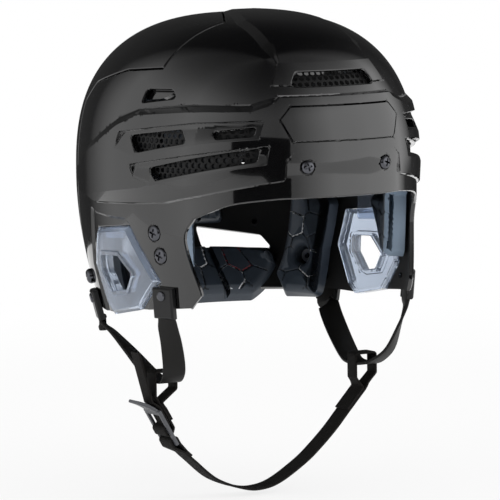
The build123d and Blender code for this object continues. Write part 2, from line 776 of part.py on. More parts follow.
def narrowed(side, outer_edge):
    """Boxes that narrow the webbing to a loop where it passes round a yoke strap."""
    with BuildPart() as boxes:
        inner_edge = yoke_half_span - loop_wall - webbing_thickness
        for step in (-1, 1):
            with Locations((side * inner_edge, step * loop_width / 2 - yoke_back, -loop_cut_drop)):
                Box(
                    outer_edge - inner_edge,
                    webbing_width,
                    overrun,
                    align=(
                        Align.MIN if side > 0 else Align.MAX,
                        Align.MIN if step > 0 else Align.MAX,
                        Align.MIN,
                    ),
                )
    return boxes.part


def webbing(path, side):
    """Webbing on an edge-on path, narrowed where it passes round one of the yoke straps."""
    with BuildPart() as strap:
        with BuildSketch(webbing_plane):
            for edge in path.edges():
                trace(edge, line_width=webbing_thickness)
        extrude(amount=webbing_width / 2, both=True, dir=webbing_plane.z_dir)
        add(narrowed(side, yoke_half_span + loop_wall + webbing_thickness), mode=Mode.SUBTRACT)
    return strap.part


with BuildLine() as chin_path:
    left_wall = (yoke_half_span - loop_wall, left_inner_wall_share * chin_drop)
    right_wall = (yoke_half_span + loop_wall, left_outer_wall_share * chin_drop)
    loop_corners = [(left_wall[0], loop_top), (right_wall[0], loop_top)]
    run = strap_points(left_run_shares)
    loop_points = strap_points(left_hem_shares) + [left_wall] + loop_corners + [right_wall] + run
    FilletPolyline(*loop_points, radius=fold_radius)
    chin = strap_points(chin_shares)
    bar = buckle_points(bottom_bar_shares)
    fall = (Vector(*run[1]) - Vector(*run[0])).normalized()
    rise = (Vector(*bar[0]) - Vector(*chin[-1])).normalized()
    Spline(*chin, tangents=(fall, rise))
    FilletPolyline(chin[-1], *bar, *strap_points(buckle_hem_shares), radius=fold_radius)

with BuildLine() as adjuster_path:
    inner_wall = loop_wall - yoke_half_span
    outer_wall = -loop_wall - yoke_half_span
    loop_points = buckle_points(adjuster_hem_shares)
    loop_points += [(inner_wall, adjuster_wall_shares[0] * chin_drop), (inner_wall, loop_top)]
    loop_points += [(outer_wall, loop_top), (outer_wall, adjuster_wall_shares[1] * chin_drop)]
    loop_points += buckle_points(adjuster_run_shares) + strap_points([tail_end_shares])
    FilletPolyline(*loop_points, radius=fold_radius)

chin_strap = webbing(chin_path, 1)
adjuster_strap = webbing(adjuster_path, -1)

# Ladder buckle between the chin strap and the adjuster strap
buckle_origin = Vector(buckle_base_shares[0] * half_width, -yoke_back, buckle_base_shares[1] * chin_drop)
buckle_plane = Plane(
    origin=buckle_origin,
    x_dir=(buckle_direction.X, 0, buckle_direction.Y),
    z_dir=(-buckle_direction.Y, 0, buckle_direction.X),
)
slot_width = webbing_width + 2 * piece_gap

with BuildPart() as buckle:
    with BuildSketch(buckle_plane.offset(-buckle_thickness / 2)):
        with Locations((buckle_length / 2, 0)):
            RectangleRounded(buckle_length, buckle_width, buckle_corner)
        for start, end in buckle_slot_shares:
            with Locations((buckle_length * (start + end) / 2, 0)):
                Rectangle(buckle_length * (end - start), slot_width, mode=Mode.SUBTRACT)
    extrude(amount=buckle_thickness)
    with BuildSketch(webbing_plane):
        with BuildLine():
            Line(*buckle_points(tab_shares))
        trace(line_width=buckle_thickness)
    extrude(amount=tab_width / 2, both=True)
buckle.part.label = "buckle"

# Left and right copies, and the files of all pieces
halves = {
    "ear_cover": ear_covers.part,
    "vent_mesh": vent_meshes,
    "temple_pad": temple_pads.part,
    "side_pad": side_pads.part,
    "rear_side_pad": rear_side_pads.part,
    "yoke_strap": both_sides(left_yoke.part),
}
for name, pair in halves.items():
    for side, keep in (("right", Keep.BOTTOM), ("left", Keep.TOP)):
        with BuildPart() as half:
            add(pair)
            split(bisect_by=Plane.YZ, keep=keep)
        half.part.label = f"{name}_{side}"
        export_step(half.part, f"parts/{name}_{side}.step")

for name, body in (
    ("front_strap_clips", front_strap_clips),
    ("rear_strap_clips", rear_strap_clips),
    ("strap_rivets", strap_rivets),
    ("chin_strap", chin_strap),
    ("adjuster_strap", adjuster_strap),
):
    body.label = name
    export_step(body, f"parts/{name}.step")

for piece in (
    front_shell,
    rear_shell,
    brow_plate,
    brow_screws,
    brow_nuts,
    side_screws,
    side_nuts,
    size_lock_screws,
    size_lock_nuts,
    front_vent_mesh,
    front_pad,
    crown_pad,
    occipital_pad,
    rear_centre_pad,
    rear_rivets,
    buckle,
):
    export_step(piece.part, f"parts/{piece.part.label}.step")
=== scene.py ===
"""Ice hockey helmet: the finished look of every piece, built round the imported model.

The frame is in metres. The helmet faces -Y, +Z is up and the wearer's left is +X. Shapes
are worked out in millimetres and turned to metres where a mesh is made.
"""

from math import cos, pi, radians, sin

import bmesh
import bpy
import numpy as np
from mathutils import Matrix, Vector


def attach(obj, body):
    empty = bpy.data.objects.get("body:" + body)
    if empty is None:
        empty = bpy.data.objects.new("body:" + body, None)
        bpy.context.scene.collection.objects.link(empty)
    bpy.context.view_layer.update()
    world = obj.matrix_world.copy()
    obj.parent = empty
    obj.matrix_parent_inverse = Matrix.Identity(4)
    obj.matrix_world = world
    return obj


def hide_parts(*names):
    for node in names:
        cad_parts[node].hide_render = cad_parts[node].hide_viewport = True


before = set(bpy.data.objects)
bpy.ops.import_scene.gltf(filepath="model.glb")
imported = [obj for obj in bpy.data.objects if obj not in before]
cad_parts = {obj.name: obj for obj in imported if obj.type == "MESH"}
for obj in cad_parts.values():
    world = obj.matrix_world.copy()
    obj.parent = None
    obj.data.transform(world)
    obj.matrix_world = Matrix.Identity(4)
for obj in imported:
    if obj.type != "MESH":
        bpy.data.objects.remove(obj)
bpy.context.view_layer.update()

scene = bpy.context.scene

# Camera
# A long lens three metres off, a little above the brow and to the wearer's right, with the
# slight roll of the photograph.
VIEW_AZIMUTH = radians(-31)
VIEW_ELEVATION = radians(6)
VIEW_ROLL = radians(0.84)
VIEW_DISTANCE = 3.0
PIXELS_PER_METRE = 1460.0
PICTURE_SIZE = 500.0
FRAME_ORIGIN_PIXEL = (247.5, 175.0)

level_right = Vector((cos(VIEW_AZIMUTH), sin(VIEW_AZIMUTH), 0))
level_sight = Vector((-sin(VIEW_AZIMUTH), cos(VIEW_AZIMUTH), 0))
sight = level_sight * cos(VIEW_ELEVATION) - Vector((0, 0, sin(VIEW_ELEVATION)))
level_up = level_right.cross(sight)
right = level_right * cos(VIEW_ROLL) - level_up * sin(VIEW_ROLL)
above = level_right * sin(VIEW_ROLL) + level_up * cos(VIEW_ROLL)
aim = right * (PICTURE_SIZE / 2 - FRAME_ORIGIN_PIXEL[0]) / PIXELS_PER_METRE
aim += above * (FRAME_ORIGIN_PIXEL[1] - PICTURE_SIZE / 2) / PIXELS_PER_METRE



def new_object(name, data):
    """Object in the scene that holds a mesh, a camera or a lamp."""
    made = bpy.data.objects.new(name, data)
    scene.collection.objects.link(made)
    return made


camera_data = bpy.data.cameras.new("camera")
camera_data.lens = camera_data.sensor_width * VIEW_DISTANCE * PIXELS_PER_METRE / PICTURE_SIZE
camera = new_object("camera", camera_data)
turn = Matrix((right, above, -sight)).transposed().to_4x4()
camera.matrix_world = Matrix.Translation(aim - sight * VIEW_DISTANCE) @ turn
scene.camera = camera
scene.view_settings.view_transform = "Standard"


# Front shell
# The brow, the front of the crown and both side wings, one injection moulding in gloss black
# ABS: a raised band with louvred vents runs from each side into a raised frame on the brow.
MM = 0.001
HALF_WIDTH = 105.0
FRONT_REACH = 130.0
REAR_REACH = 142.0
CROWN_HEIGHT = 112.0
SKIRT_DEPTH = 90.0
SIDE_TUCK = 5.0
FRONT_TUCK = 3.0
REAR_TUCK = 44.0
PLAN_POWER = 2.15
FRONT_POWER = 2.7
REAR_POWER = 2.4
SHELL_WALL = 3.0
MIDDLE = np.array([0.0, 5.0, -15.0])
ON_LINE = 0.05
FAR = 1000.0


def dome(growth=0.0):
    """Half width, front reach, rear reach, crown height and middle of the shell's dome, grown."""
    return HALF_WIDTH + growth, FRONT_REACH + growth, REAR_REACH + growth, CROWN_HEIGHT + growth, 0.0


def unit(vectors):
    """Vectors at a length of one."""
    return vectors / np.linalg.norm(vectors, axis=-1, keepdims=True)


def fullness(points, size):
    """Below 1 inside a dome and above 1 outside it."""
    half, front, rear, crown, centre = size
    x, y, z = points[:, 0], points[:, 1] - centre, points[:, 2]
    climb = np.clip(z / crown, 0, 1 - 1e-9)
    drop = np.clip(z / SKIRT_DEPTH, -1.4, 0) ** 2
    ahead = (1 - climb**FRONT_POWER) ** (1 / FRONT_POWER)
    behind = (1 - climb**REAR_POWER) ** (1 / REAR_POWER)
    across = half * ahead - SIDE_TUCK * drop
    along = np.where(y < 0, front * ahead - FRONT_TUCK * drop, rear * behind - REAR_TUCK * drop)
    full = np.abs(x / across) ** PLAN_POWER + np.abs(y / along) ** PLAN_POWER
    return np.where(z < crown, full, 2.0)


def on_dome(ways, size):
    """Where rays from the middle of the helmet leave a dome."""
    near, far = np.zeros(len(ways)), np.full(len(ways), 2 * REAR_REACH)
    for _ in range(44):
        half_way = (near + far) / 2
        inside = fullness(MIDDLE + ways * half_way[:, None], size) < 1
        near, far = np.where(inside, half_way, near), np.where(inside, far, half_way)
    return MIDDLE + ways * near[:, None]


def dome_normals(ways, size):
    """Outward normals of a dome, from rays a hair apart."""
    side = unit(np.cross(ways, [0.31, 0.47, 0.83]))
    spans = []
    for step in (side * 1e-3, np.cross(ways, side) * 1e-3):
        spans.append(on_dome(unit(ways + step), size) - on_dome(unit(ways - step), size))
    normals = unit(np.cross(*spans))
    return normals * np.sign((normals * ways).sum(1))[:, None]


def place_on_dome(start, way, growth=0.0):
    """Point and outward normal where a line from inside the helmet leaves the shell's dome."""
    start, way = np.array(start, float), np.array(way, float)
    near, far = 0.0, 2 * REAR_REACH
    for _ in range(44):
        half_way = (near + far) / 2
        if fullness((start + way * half_way)[None], dome(growth))[0] < 1:
            near = half_way
        else:
            far = half_way
    point = start + way * near
    return point, dome_normals(unit(point - MIDDLE)[None], dome(growth))[0]


class Skin:
    """A dome as triangles that can be split along lines drawn on it, for the half at x above 0."""

    def __init__(self, size, low, high, whole=False, fineness=7):
        self.size = size
        ball = bmesh.new()
        bmesh.ops.create_icosphere(ball, subdivisions=fineness, radius=1)
        self.ways = unit(np.array([v.co[:] for v in ball.verts]))
        self.faces = np.array([[v.index for v in f.verts] for f in ball.faces])
        ball.free()
        self.points = on_dome(self.ways, size)
        near = ((self.points > np.array(low) - 4) & (self.points < np.array(high) + 4)).all(1)
        self.faces = self.faces[near[self.faces].any(1)]
        self.tidy()
        self.normals = dome_normals(self.ways, size)
        if not whole:
            self.keep(lambda points, normals: points[:, 0])
            self.join_middle()

    def join_middle(self):
        """Moves points next to the middle plane onto it, so that the mirrored half joins."""
        near = np.abs(self.points[:, 0]) < ON_LINE
        self.points[near, 0] = 0
        self.ways[near] = unit(self.points[near] - MIDDLE)
        self.points[near] = on_dome(self.ways[near], self.size)
        self.normals[near, 0] = 0
        self.normals[near] = unit(self.normals[near])

    def tidy(self):
        """Drops the points that no triangle uses."""
        used, places = np.unique(self.faces, return_inverse=True)
        self.faces = places.reshape(-1, 3)
        self.ways, self.points = self.ways[used], self.points[used]
        if hasattr(self, "normals"):
            self.normals = self.normals[used]

    def cut(self, line):
        """Splits the triangles along the zero line of a function of points and normals."""
        value = line(self.points, self.normals)
        value = np.where(np.abs(value) < ON_LINE, 0.0, value)
        sign = np.sign(value)[self.faces]
        mixed = (sign.min(1) < 0) & (sign.max(1) > 0)
        faces, sign = self.faces[mixed], sign[mixed]
        if not len(faces):
            return
        touching = (sign == 0).any(1)
        odd = np.where(touching, (sign == 0).argmax(1), (sign == -sign.sum(1)[:, None]).argmax(1))
        turned = np.take_along_axis(faces, (odd[:, None] + [0, 1, 2]) % 3, 1)
        first, second, third = turned[~touching].T
        peak, left, right = turned[touching].T
        pairs = np.vstack([np.c_[left, right], np.c_[first, second], np.c_[first, third]])
        pairs.sort(axis=1)
        ends, places = np.unique(pairs, axis=0, return_inverse=True)
        share = (value[ends[:, 0]] / (value[ends[:, 0]] - value[ends[:, 1]]))[:, None]
        crossings = self.points[ends[:, 0]] * (1 - share) + self.points[ends[:, 1]] * share
        ways = unit(crossings - MIDDLE)
        places = places.ravel() + len(self.ways)
        middle, near, far = np.split(places, [len(peak), len(peak) + len(first)])
        self.ways = np.vstack([self.ways, ways])
        self.points = np.vstack([self.points, on_dome(ways, self.size)])
        self.normals = np.vstack([self.normals, dome_normals(ways, self.size)])
        parts = [(peak, left, middle), (peak, middle, right)]
        parts += [(first, near, far), (near, second, third), (near, third, far)]
        self.faces = np.vstack([self.faces[~mixed]] + [np.c_[part] for part in parts])

    def middles(self):
        """Middle and normal of each triangle."""
        return self.points[self.faces].mean(1), unit(self.normals[self.faces].mean(1))

    def keep(self, line):
        """Cuts along a line and keeps the side where its function is above zero."""
        self.cut(line)
        self.faces = self.faces[line(*self.middles()) > 0]
        self.tidy()


def height_at(share):
    """Height above or below the brow line, from a share of the shell's crown or skirt."""
    return share * (CROWN_HEIGHT if share > 0 else SKIRT_DEPTH)


def depth_at(share):
    """Place along the helmet, from a share of its front or rear reach."""
    return share * (FRONT_REACH if share < 0 else REAR_REACH)


def from_side(shares):
    """Points of a side outline, from shares of the shell's reaches."""
    return np.array([(depth_at(y), height_at(z)) for y, z in shares])


def from_front(shares):
    """Points of a front outline, given for one half and closed by its mirror image."""
    half = [(x * HALF_WIDTH, height_at(z)) for x, z in shares]
    return np.array(half + [(-x, z) for x, z in reversed(half)])


def from_top(shares):
    """Points of an outline seen from above, given for one half."""
    half = [(x * HALF_WIDTH, depth_at(y)) for x, y in shares]
    return np.array(half + [(-x, y) for x, y in reversed(half)])


def inset(corners, amount):
    """Corners of a closed outline moved inwards."""
    following = np.roll(corners, -1, 0)
    run = unit(following - corners)
    area = (corners[:, 0] * following[:, 1] - corners[:, 1] * following[:, 0]).sum()
    inward = np.c_[-run[:, 1], run[:, 0]] * np.sign(area)
    before = np.roll(inward, 1, 0)
    return corners + amount * (inward + before) / (1 + (inward * before).sum(1))[:, None]


def outline(axes, corners, radius=0.0, facing=None):
    """Function that tells how far points lie inside an outline that is seen along one axis.

    The distance is measured along the surface. Facing is an axis and a sign that the points
    have to be on.
    """
    corners = inset(corners, radius) if radius else corners
    run = np.roll(corners, -1, 0) - corners
    lengths = np.maximum((run**2).sum(1), 1e-12)

    def distance(points, normals):
        flat = points[:, axes]
        gap = flat[:, None] - corners
        share = np.clip((gap * run).sum(2) / lengths, 0, 1)
        away = gap - share[..., None] * run
        size = np.linalg.norm(away, axis=2)
        rows, nearest = np.arange(len(flat)), size.argmin(1)
        away, size = away[rows, nearest], size[rows, nearest]
        spans = (corners[:, 1] > flat[:, 1:]) != (np.roll(corners[:, 1], -1) > flat[:, 1:])
        rise = np.where(np.abs(run[:, 1]) < 1e-9, 1e-9, run[:, 1])
        crossed = flat[:, :1] < corners[:, 0] + (flat[:, 1:] - corners[:, 1]) * run[:, 0] / rise
        sign = np.where((spans & crossed).sum(1) % 2 == 1, 1.0, -1.0)
        gradient = away / np.maximum(size, 1e-9)[:, None]
        slope = (normals[:, axes] * gradient).sum(1)
        signed = (sign * size + radius) / np.sqrt(np.clip(1 - slope**2, 0.1, 1))
        if facing:
            signed = np.where(points[:, facing[0]] * facing[1] > 0, signed, -FAR)
        return signed

    return distance


def side_outline(shares, radius=0.0):
    """Distance inside an outline that is seen from the side."""
    return outline([1, 2], from_side(shares), radius)


def front_outline(shares, radius=0.0):
    """Distance inside an outline that is seen from the front."""
    return outline([0, 2], from_front(shares), radius, (1, -1))


def top_outline(shares, radius=0.0):
    """Distance inside an outline that is seen from above."""
    return outline([0, 1], from_top(shares), radius, (2, 1))


def round_outline(centre, axis, radius):
    """Distance inside a circle round an axis."""

    def distance(points, normals):
        gap = points - centre
        off = gap - (gap @ axis)[:, None] * axis
        reach = radius - np.linalg.norm(off, axis=1)
        return np.where(np.abs(gap @ axis) < 12, reach, -FAR)

    return distance


def rounded_path(shares, steps=8):
    """Smooth curve through points, as a list of points."""
    points = np.array(shares)
    ends = np.vstack([2 * points[0] - points[1], points, 2 * points[-1] - points[-2]])
    path = []
    for a, b, c, d in zip(ends, ends[1:], ends[2:], ends[3:]):
        for t in np.arange(steps) / steps:
            bend = (2 * a - 5 * b + 4 * c - d) * t**2 + (3 * b - a - 3 * c + d) * t**3
            path.append((2 * b + (c - a) * t + bend) / 2)
    return path + [points[-1]]


def ramp(distance, width):
    """0 outside an outline, rising to 1 a width inside it."""
    return np.clip(distance / width, 0, 1)


def closed_layer(skin, face_height, back_height, mirror=True):
    """Closed piece between two heights off a skin, with exact normals on its worked face.

    Returns the points, the faces and a normal for each corner of a face.
    """
    points, normals, faces = skin.points, skin.normals, skin.faces
    top, bottom = face_height(points, normals), back_height(points, normals)
    outward = 1.0 if top.mean() > bottom.mean() else -1.0
    corners, corner_normals = points[faces], normals[faces].reshape(-1, 3)
    probes = (corners * 0.8 + corners.mean(1, keepdims=True) * 0.2).reshape(-1, 3)
    along = unit(np.cross(corner_normals, [0.31, 0.47, 0.83]))
    across = np.cross(corner_normals, along)
    level = face_height(probes, corner_normals)
    step = 0.02
    for way in (along, across):
        slope = (face_height(probes + way * step, corner_normals) - level) / step
        corner_normals = corner_normals - way * np.clip(slope, -6, 6)[:, None]
    corner_normals = unit(corner_normals) * outward
    count = len(points)
    places = np.vstack([points + normals * top[:, None], points + normals * bottom[:, None]])
    back = faces[:, ::-1] + count
    worked = faces
    edges = faces[:, [0, 1, 1, 2, 2, 0]].reshape(-1, 2)
    keys = np.sort(edges, 1) @ [1, count]
    _, first, uses = np.unique(keys, return_index=True, return_counts=True)
    rim = edges[first[uses == 1]]
    if mirror:
        rim = rim[(np.abs(points[rim, 0]) > 1e-6).any(1)]
    walls = np.c_[rim[:, 1], rim[:, 0], rim[:, 0] + count, rim[:, 1] + count]
    if outward < 0:
        worked, back, walls = worked[:, ::-1], back[:, ::-1], walls[:, ::-1]
        corner_normals = corner_normals.reshape(-1, 3, 3)[:, ::-1].reshape(-1, 3)
    first, second, third, fourth = places[walls].transpose(1, 0, 2)
    wall_normals = unit(np.cross(third - first, fourth - second))
    sums = np.zeros_like(places)
    for k in range(4):
        np.add.at(sums, walls[:, k], wall_normals)
    sums = sums / np.maximum(np.linalg.norm(sums, axis=1, keepdims=True), 1e-9)
    smooth = sums[walls]
    flat = np.repeat(wall_normals[:, None], 4, 1)
    bent = (smooth * flat).sum(2, keepdims=True) > 0.8
    wall_corners = np.where(bent, smooth, flat).reshape(-1, 3)
    back_corners = (-outward * normals)[back.reshape(-1) - count]
    all_faces = [worked, back, walls]
    all_normals = [corner_normals, back_corners, wall_corners]
    if mirror:
        twin = np.arange(2 * count) + 2 * count
        seam = np.tile(np.abs(points[:, 0]) <= 1e-6, 2)
        twin[seam] = np.arange(2 * count)[seam]
        places = np.vstack([places, places * [-1, 1, 1]])
        for part in range(3):
            sides = all_faces[part].shape[1]
            all_faces.append(twin[all_faces[part]][:, ::-1])
            flipped = all_normals[part].reshape(-1, sides, 3)[:, ::-1] * [-1, 1, 1]
            all_normals.append(flipped.reshape(-1, 3))
    return places, all_faces, all_normals


def mesh_piece(name, places, faces, normals=None, marks=None):
    """Object with a mesh of points in millimetres and lists of equal-sided faces."""
    used, renumbered = np.unique(np.concatenate([part.ravel() for part in faces]), return_inverse=True)
    loops, starts = renumbered.astype(np.int32), []
    total = 0
    for part in faces:
        starts.append(total + np.arange(len(part)) * part.shape[1])
        total += part.size
    mesh = bpy.data.meshes.new(name)
    mesh.vertices.add(len(used))
    mesh.vertices.foreach_set("co", (places[used] * MM).ravel())
    mesh.loops.add(total)
    mesh.loops.foreach_set("vertex_index", loops)
    mesh.polygons.add(sum(len(part) for part in faces))
    mesh.polygons.foreach_set("loop_start", np.concatenate(starts).astype(np.int32))
    mesh.update(calc_edges=True)
    mesh.shade_smooth()
    if marks is not None:
        layer = mesh.attributes.new("mark", "FLOAT", "FACE")
        layer.data.foreach_set("value", marks.astype(np.float32))
    if normals is not None:
        mesh.normals_split_custom_set(np.concatenate(normals))
    return new_object(name, mesh)


BAND_RISE = 3.0
RIDGE_RISE = 2.0
SEAM_GAP = 0.8
PIECE_GAP = 0.3
RIM_RADIUS = 0.9
LEDGE_WIDTH = 6.0
LEDGE_START = 1.5
LEDGE_LOW = 18
LEDGE_LEAN = 0.1
LEDGE_FADE = 10
BROW_LEDGE_LOW = 48
BROW_LEDGE_FADE = 8
BROW_LEDGE_WIDTH = 3.0
RIDGE_WIDTH = 6.5
FACET_TOP = 81.5
FACET_HEIGHT = 17.0
FACET_LEAN = 2.6
EDGE_WIDTH = 1.3
LOUVRE_DEPTH = 3.6
LOUVRE_EDGE = 0.8
FACET_DROP = 0.9
FACET_SPAN = 14
FACET_END = (122, 112)
PANEL_DROP = 1.7
PANEL_HEIGHTS = (6, 27)
PANEL_SIDES = (40, 66)
PANEL_TOP = 40
REBATE_DEPTH = 1.3
REBATE_EDGE = 1.6
BADGE_DEPTH = 1.8
COUNTERBORE_DEPTH = 1.6
BROW_BORE_DEPTH = 3.2
COUNTERBORE_GAP = 0.7
STEEP = 0.15
BROW_HEAD_RADIUS = 4.6
SIDE_HEAD_RADIUS = 5.4
BROW_SCREW_SPACING = 61.0
BROW_SCREW_HEIGHT = 15.5
LOCK_SHANK_RADIUS = 2.0
SIZE_TRAVEL = 8.0
LOCK_SLOT_SPARE = 1.2
LOCK_SLOT_GAP = 0.9

brow_screw_start = (BROW_SCREW_SPACING / 2, 0, BROW_SCREW_HEIGHT)
brow_screw_place, brow_screw_way = place_on_dome(brow_screw_start, (0, -1, 0), BAND_RISE)
side_screw_shares = [(-0.336, -0.336), (-0.372, -0.504)]
side_screw_places = [place_on_dome((0, *place), (1, 0, 0)) for place in from_side(side_screw_shares)]
lock_place, lock_way = place_on_dome((0, *from_side([(0.401, -0.755)])[0]), (1, 0, 0))

face_opening_shares = rounded_path([(-0.92, -0.06), (-0.77, -0.10), (-0.677, -0.155), (-0.585, -0.217)])[:-1]
face_opening_shares += rounded_path([(-0.585, -0.217), (-0.533, -0.333), (-0.544, -0.489), (-0.60, -0.755)])
face_opening_shares += [(-0.62, -1.5), (-1.3, -1.5), (-1.3, -0.05)]
front_hem_shares = [(-1.3, -0.76), (-0.60, -0.78), (-0.54, -0.88), (-0.18, -0.93), (0.13, -0.99)]
front_hem_shares += [(0.80, -0.97), (0.80, -1.5), (-1.3, -1.5)]
ear_cover_shares = [(0.197, -0.356), (-0.123, -0.304), (-0.344, -0.697), (-0.185, -0.929)]
ear_cover_shares += [(0.085, -1.0), (0.141, -0.933), (0.246, -0.633)]
ear_slot_shares = [(-0.185, -0.90), (0.10, -0.90), (0.12, -1.5), (-0.185, -1.5)]
seam_shares = [(-0.29, 1.5), (-0.255, 0.705), (0.04, 0.68), (0.35, 0.588), (0.465, 0.464), (0.507, 0.05)]
seam_shares += [(0.515, -0.667), (0.50, -1.5), (1.5, -1.5), (1.5, 1.5)]
crown_wedge_shares = [(0.386, -0.308), (0.127, 0.061)]
side_vent_shares = [
    [(-0.146, 0.303), (-0.51, 0.354), (-0.552, 0.277), (-0.224, 0.205)],
    [(-0.66, 0.345), (-0.83, 0.374), (-0.83, 0.322), (-0.695, 0.303)],
    [(-0.307, 0.117), (-0.855, 0.252), (-0.85, 0.175), (-0.377, 0.049)],
    [(-0.21, 0.58), (-0.39, 0.585), (-0.44, 0.535), (-0.196, 0.498)],
]
side_band_shares = [(-0.86, 0.545), (-0.79, 0.495), (-0.54, 0.49), (-0.21, 0.46), (-0.03, 0.39)]
side_band_shares += [(0.29, 0.196), (0.42, 0.07), (0.40, -0.09), (0.18, -0.16), (-0.16, -0.135)]
side_band_shares += [(-0.43, -0.11), (-0.635, -0.045), (-0.93, 0.054), (-0.93, 0.25), (-0.90, 0.42)]
brow_frame_shares = [(0.40, 0.545), (0.50, 0.446), (0.50, 0.27), (0.55, 0.10), (0.519, 0.061), (0.391, 0.181)]
brow_frame_shares += [(0.326, 0.239)]
badge_shares = [(0.352, 0.486), (0.424, 0.411), (0.365, 0.279)]
vent_panel_shares = [(0.30, 0.85), (0.33, 0.745), (0.43, 0.605)]
front_vent_shares = [(0.252, 0.68), (0.314, 0.602)]
ridge_shares = [(0.127, 0.061), (0.333, -0.36), (0.36, -0.636), (0.33, -0.76)]
upper_louvre_top_shares = [(-0.07, 0.32), (-0.59, 0.395), (-0.85, 0.41)]
upper_louvre_bottom_shares = [(-0.85, 0.30), (-0.69, 0.28), (-0.55, 0.255), (-0.24, 0.18), (-0.04, 0.22)]
lower_louvre_top_shares = [(-0.177, 0.134), (-0.885, 0.268)]
lower_louvre_bottom_shares = [(-0.88, 0.152), (-0.335, 0.015), (-0.21, 0.055)]
crease_shares = [(-0.894, 0.154), (-0.582, 0.076), (-0.315, 0.015), (-0.252, -0.004), (0.152, -0.077)]
crease_shares += [(0.5, -0.16)]
ear_rebate_shares = [(0.27, -0.19), (0.223, -0.226), (0.059, -0.244), (-0.088, -0.243), (-0.145, -0.28)]
ear_rebate_shares += [(-0.372, -0.70), (-0.21, -0.97), (0.12, -1.2), (0.30, -0.64)]

side_seam = side_outline(seam_shares)
crown_wedge = top_outline(crown_wedge_shares)
openings = [side_outline(face_opening_shares), side_outline(front_hem_shares)]
openings += [side_outline(vent, 1.6) for vent in side_vent_shares]
openings += [front_outline(front_vent_shares, 2.0), side_outline(ear_slot_shares)]
ear_notch = side_outline(ear_cover_shares)
side_band = side_outline(side_band_shares, 3.0)
brow_frame = front_outline(brow_frame_shares)
badge_pocket = front_outline(badge_shares, 1.5)
vent_panel = front_outline(vent_panel_shares)
crown_ridge = top_outline(ridge_shares, 2.0)
ear_rebate = side_outline(ear_rebate_shares, 2.5)
brow_bore = round_outline(brow_screw_place, brow_screw_way, BROW_HEAD_RADIUS + COUNTERBORE_GAP)
side_bores = [round_outline(*place, SIDE_HEAD_RADIUS + COUNTERBORE_GAP) for place in side_screw_places]
crease_line = from_side(crease_shares)


def louvre(top_shares, bottom_shares):
    """Outline of a louvre, and the share of its depth from its lower edge up to its top edge."""
    whole = side_outline(top_shares + bottom_shares, 1.0)
    edges = []
    for shares in (top_shares, bottom_shares):
        points = from_side(shares)
        edges.append(outline([1, 2], np.vstack([points, points[::-1] + [0, 0.01]])))

    def depth(points, normals):
        top, bottom = [np.abs(edge(points, normals)) for edge in edges]
        return ramp(whole(points, normals), LOUVRE_EDGE) * bottom / np.maximum(top + bottom, 1e-6)

    return whole, depth


louvres = [louvre(upper_louvre_top_shares, upper_louvre_bottom_shares)]
louvres += [louvre(lower_louvre_top_shares, lower_louvre_bottom_shares)]


def lock_slot(points, normals):
    """Distance inside the slot that the size lock's screw slides in."""
    y = np.clip(points[:, 1], lock_place[1], lock_place[1] + SIZE_TRAVEL + LOCK_SLOT_SPARE)
    return LOCK_SHANK_RADIUS + LOCK_SLOT_GAP - np.hypot(points[:, 1] - y, points[:, 2] - lock_place[2])


def behind_seam(points, normals):
    """How far points lie behind the seam between the two shells."""
    return np.minimum(side_seam(points, normals), -crown_wedge(points, normals))


def front_shell_edge(points, normals):
    """How far points lie inside the front shell, from its rims and openings."""
    inside = -(behind_seam(points, normals) + SEAM_GAP)
    inside = np.minimum(inside, -(ear_notch(points, normals) + PIECE_GAP))
    for opening in openings + [lock_slot]:
        inside = np.minimum(inside, -opening(points, normals))
    return inside


def above_crease(points, normals):
    """Height above the long crease on the side band."""
    return points[:, 2] - np.interp(points[:, 1], crease_line[:, 0], crease_line[:, 1])


def band_ramp(points, normals):
    """Slope of the raised band and brow frame: wide above, as a ledge, and narrow below."""
    upper = np.clip((points[:, 2] - LEDGE_LOW + LEDGE_LEAN * points[:, 1]) / LEDGE_FADE, 0, 1)
    side_width = EDGE_WIDTH + (LEDGE_WIDTH - EDGE_WIDTH) * upper
    side = (side_band(points, normals) + LEDGE_START * upper) / side_width
    front_upper = np.clip((points[:, 2] - BROW_LEDGE_LOW) / BROW_LEDGE_FADE, 0, 1)
    brow_width = EDGE_WIDTH + (BROW_LEDGE_WIDTH - EDGE_WIDTH) * front_upper
    brow = (brow_frame(points, normals) + LEDGE_START * front_upper) / brow_width
    return np.maximum(side, brow)


def ridge_ramp(points, normals):
    """Slope of the crown ridge and of the panel round the front vent."""
    ridge = crown_ridge(points, normals) / RIDGE_WIDTH
    return np.maximum(ridge, vent_panel(points, normals) / EDGE_WIDTH)


def rim_drop(inside):
    """How much a rounded rim lies below its surface."""
    short = np.clip(RIM_RADIUS - inside, 0, RIM_RADIUS)
    return RIM_RADIUS - np.sqrt(RIM_RADIUS**2 - short**2)


def eased(value, start, end):
    """0 before start and 1 after end, with no corner between."""
    share = np.clip((value - start) / (end - start), 0, 1)
    return share * share * (3 - 2 * share)


def brow_panel(points, normals):
    """Height of the broad swell of the brow round the two screws, under the raised frame."""
    rise = BAND_RISE - PANEL_DROP * (1 - eased(points[:, 2], *PANEL_HEIGHTS))
    front = (points[:, 1] < 0) & (points[:, 2] < PANEL_TOP)
    return np.where(front, rise * (1 - eased(np.abs(points[:, 0]), *PANEL_SIDES)), 0)


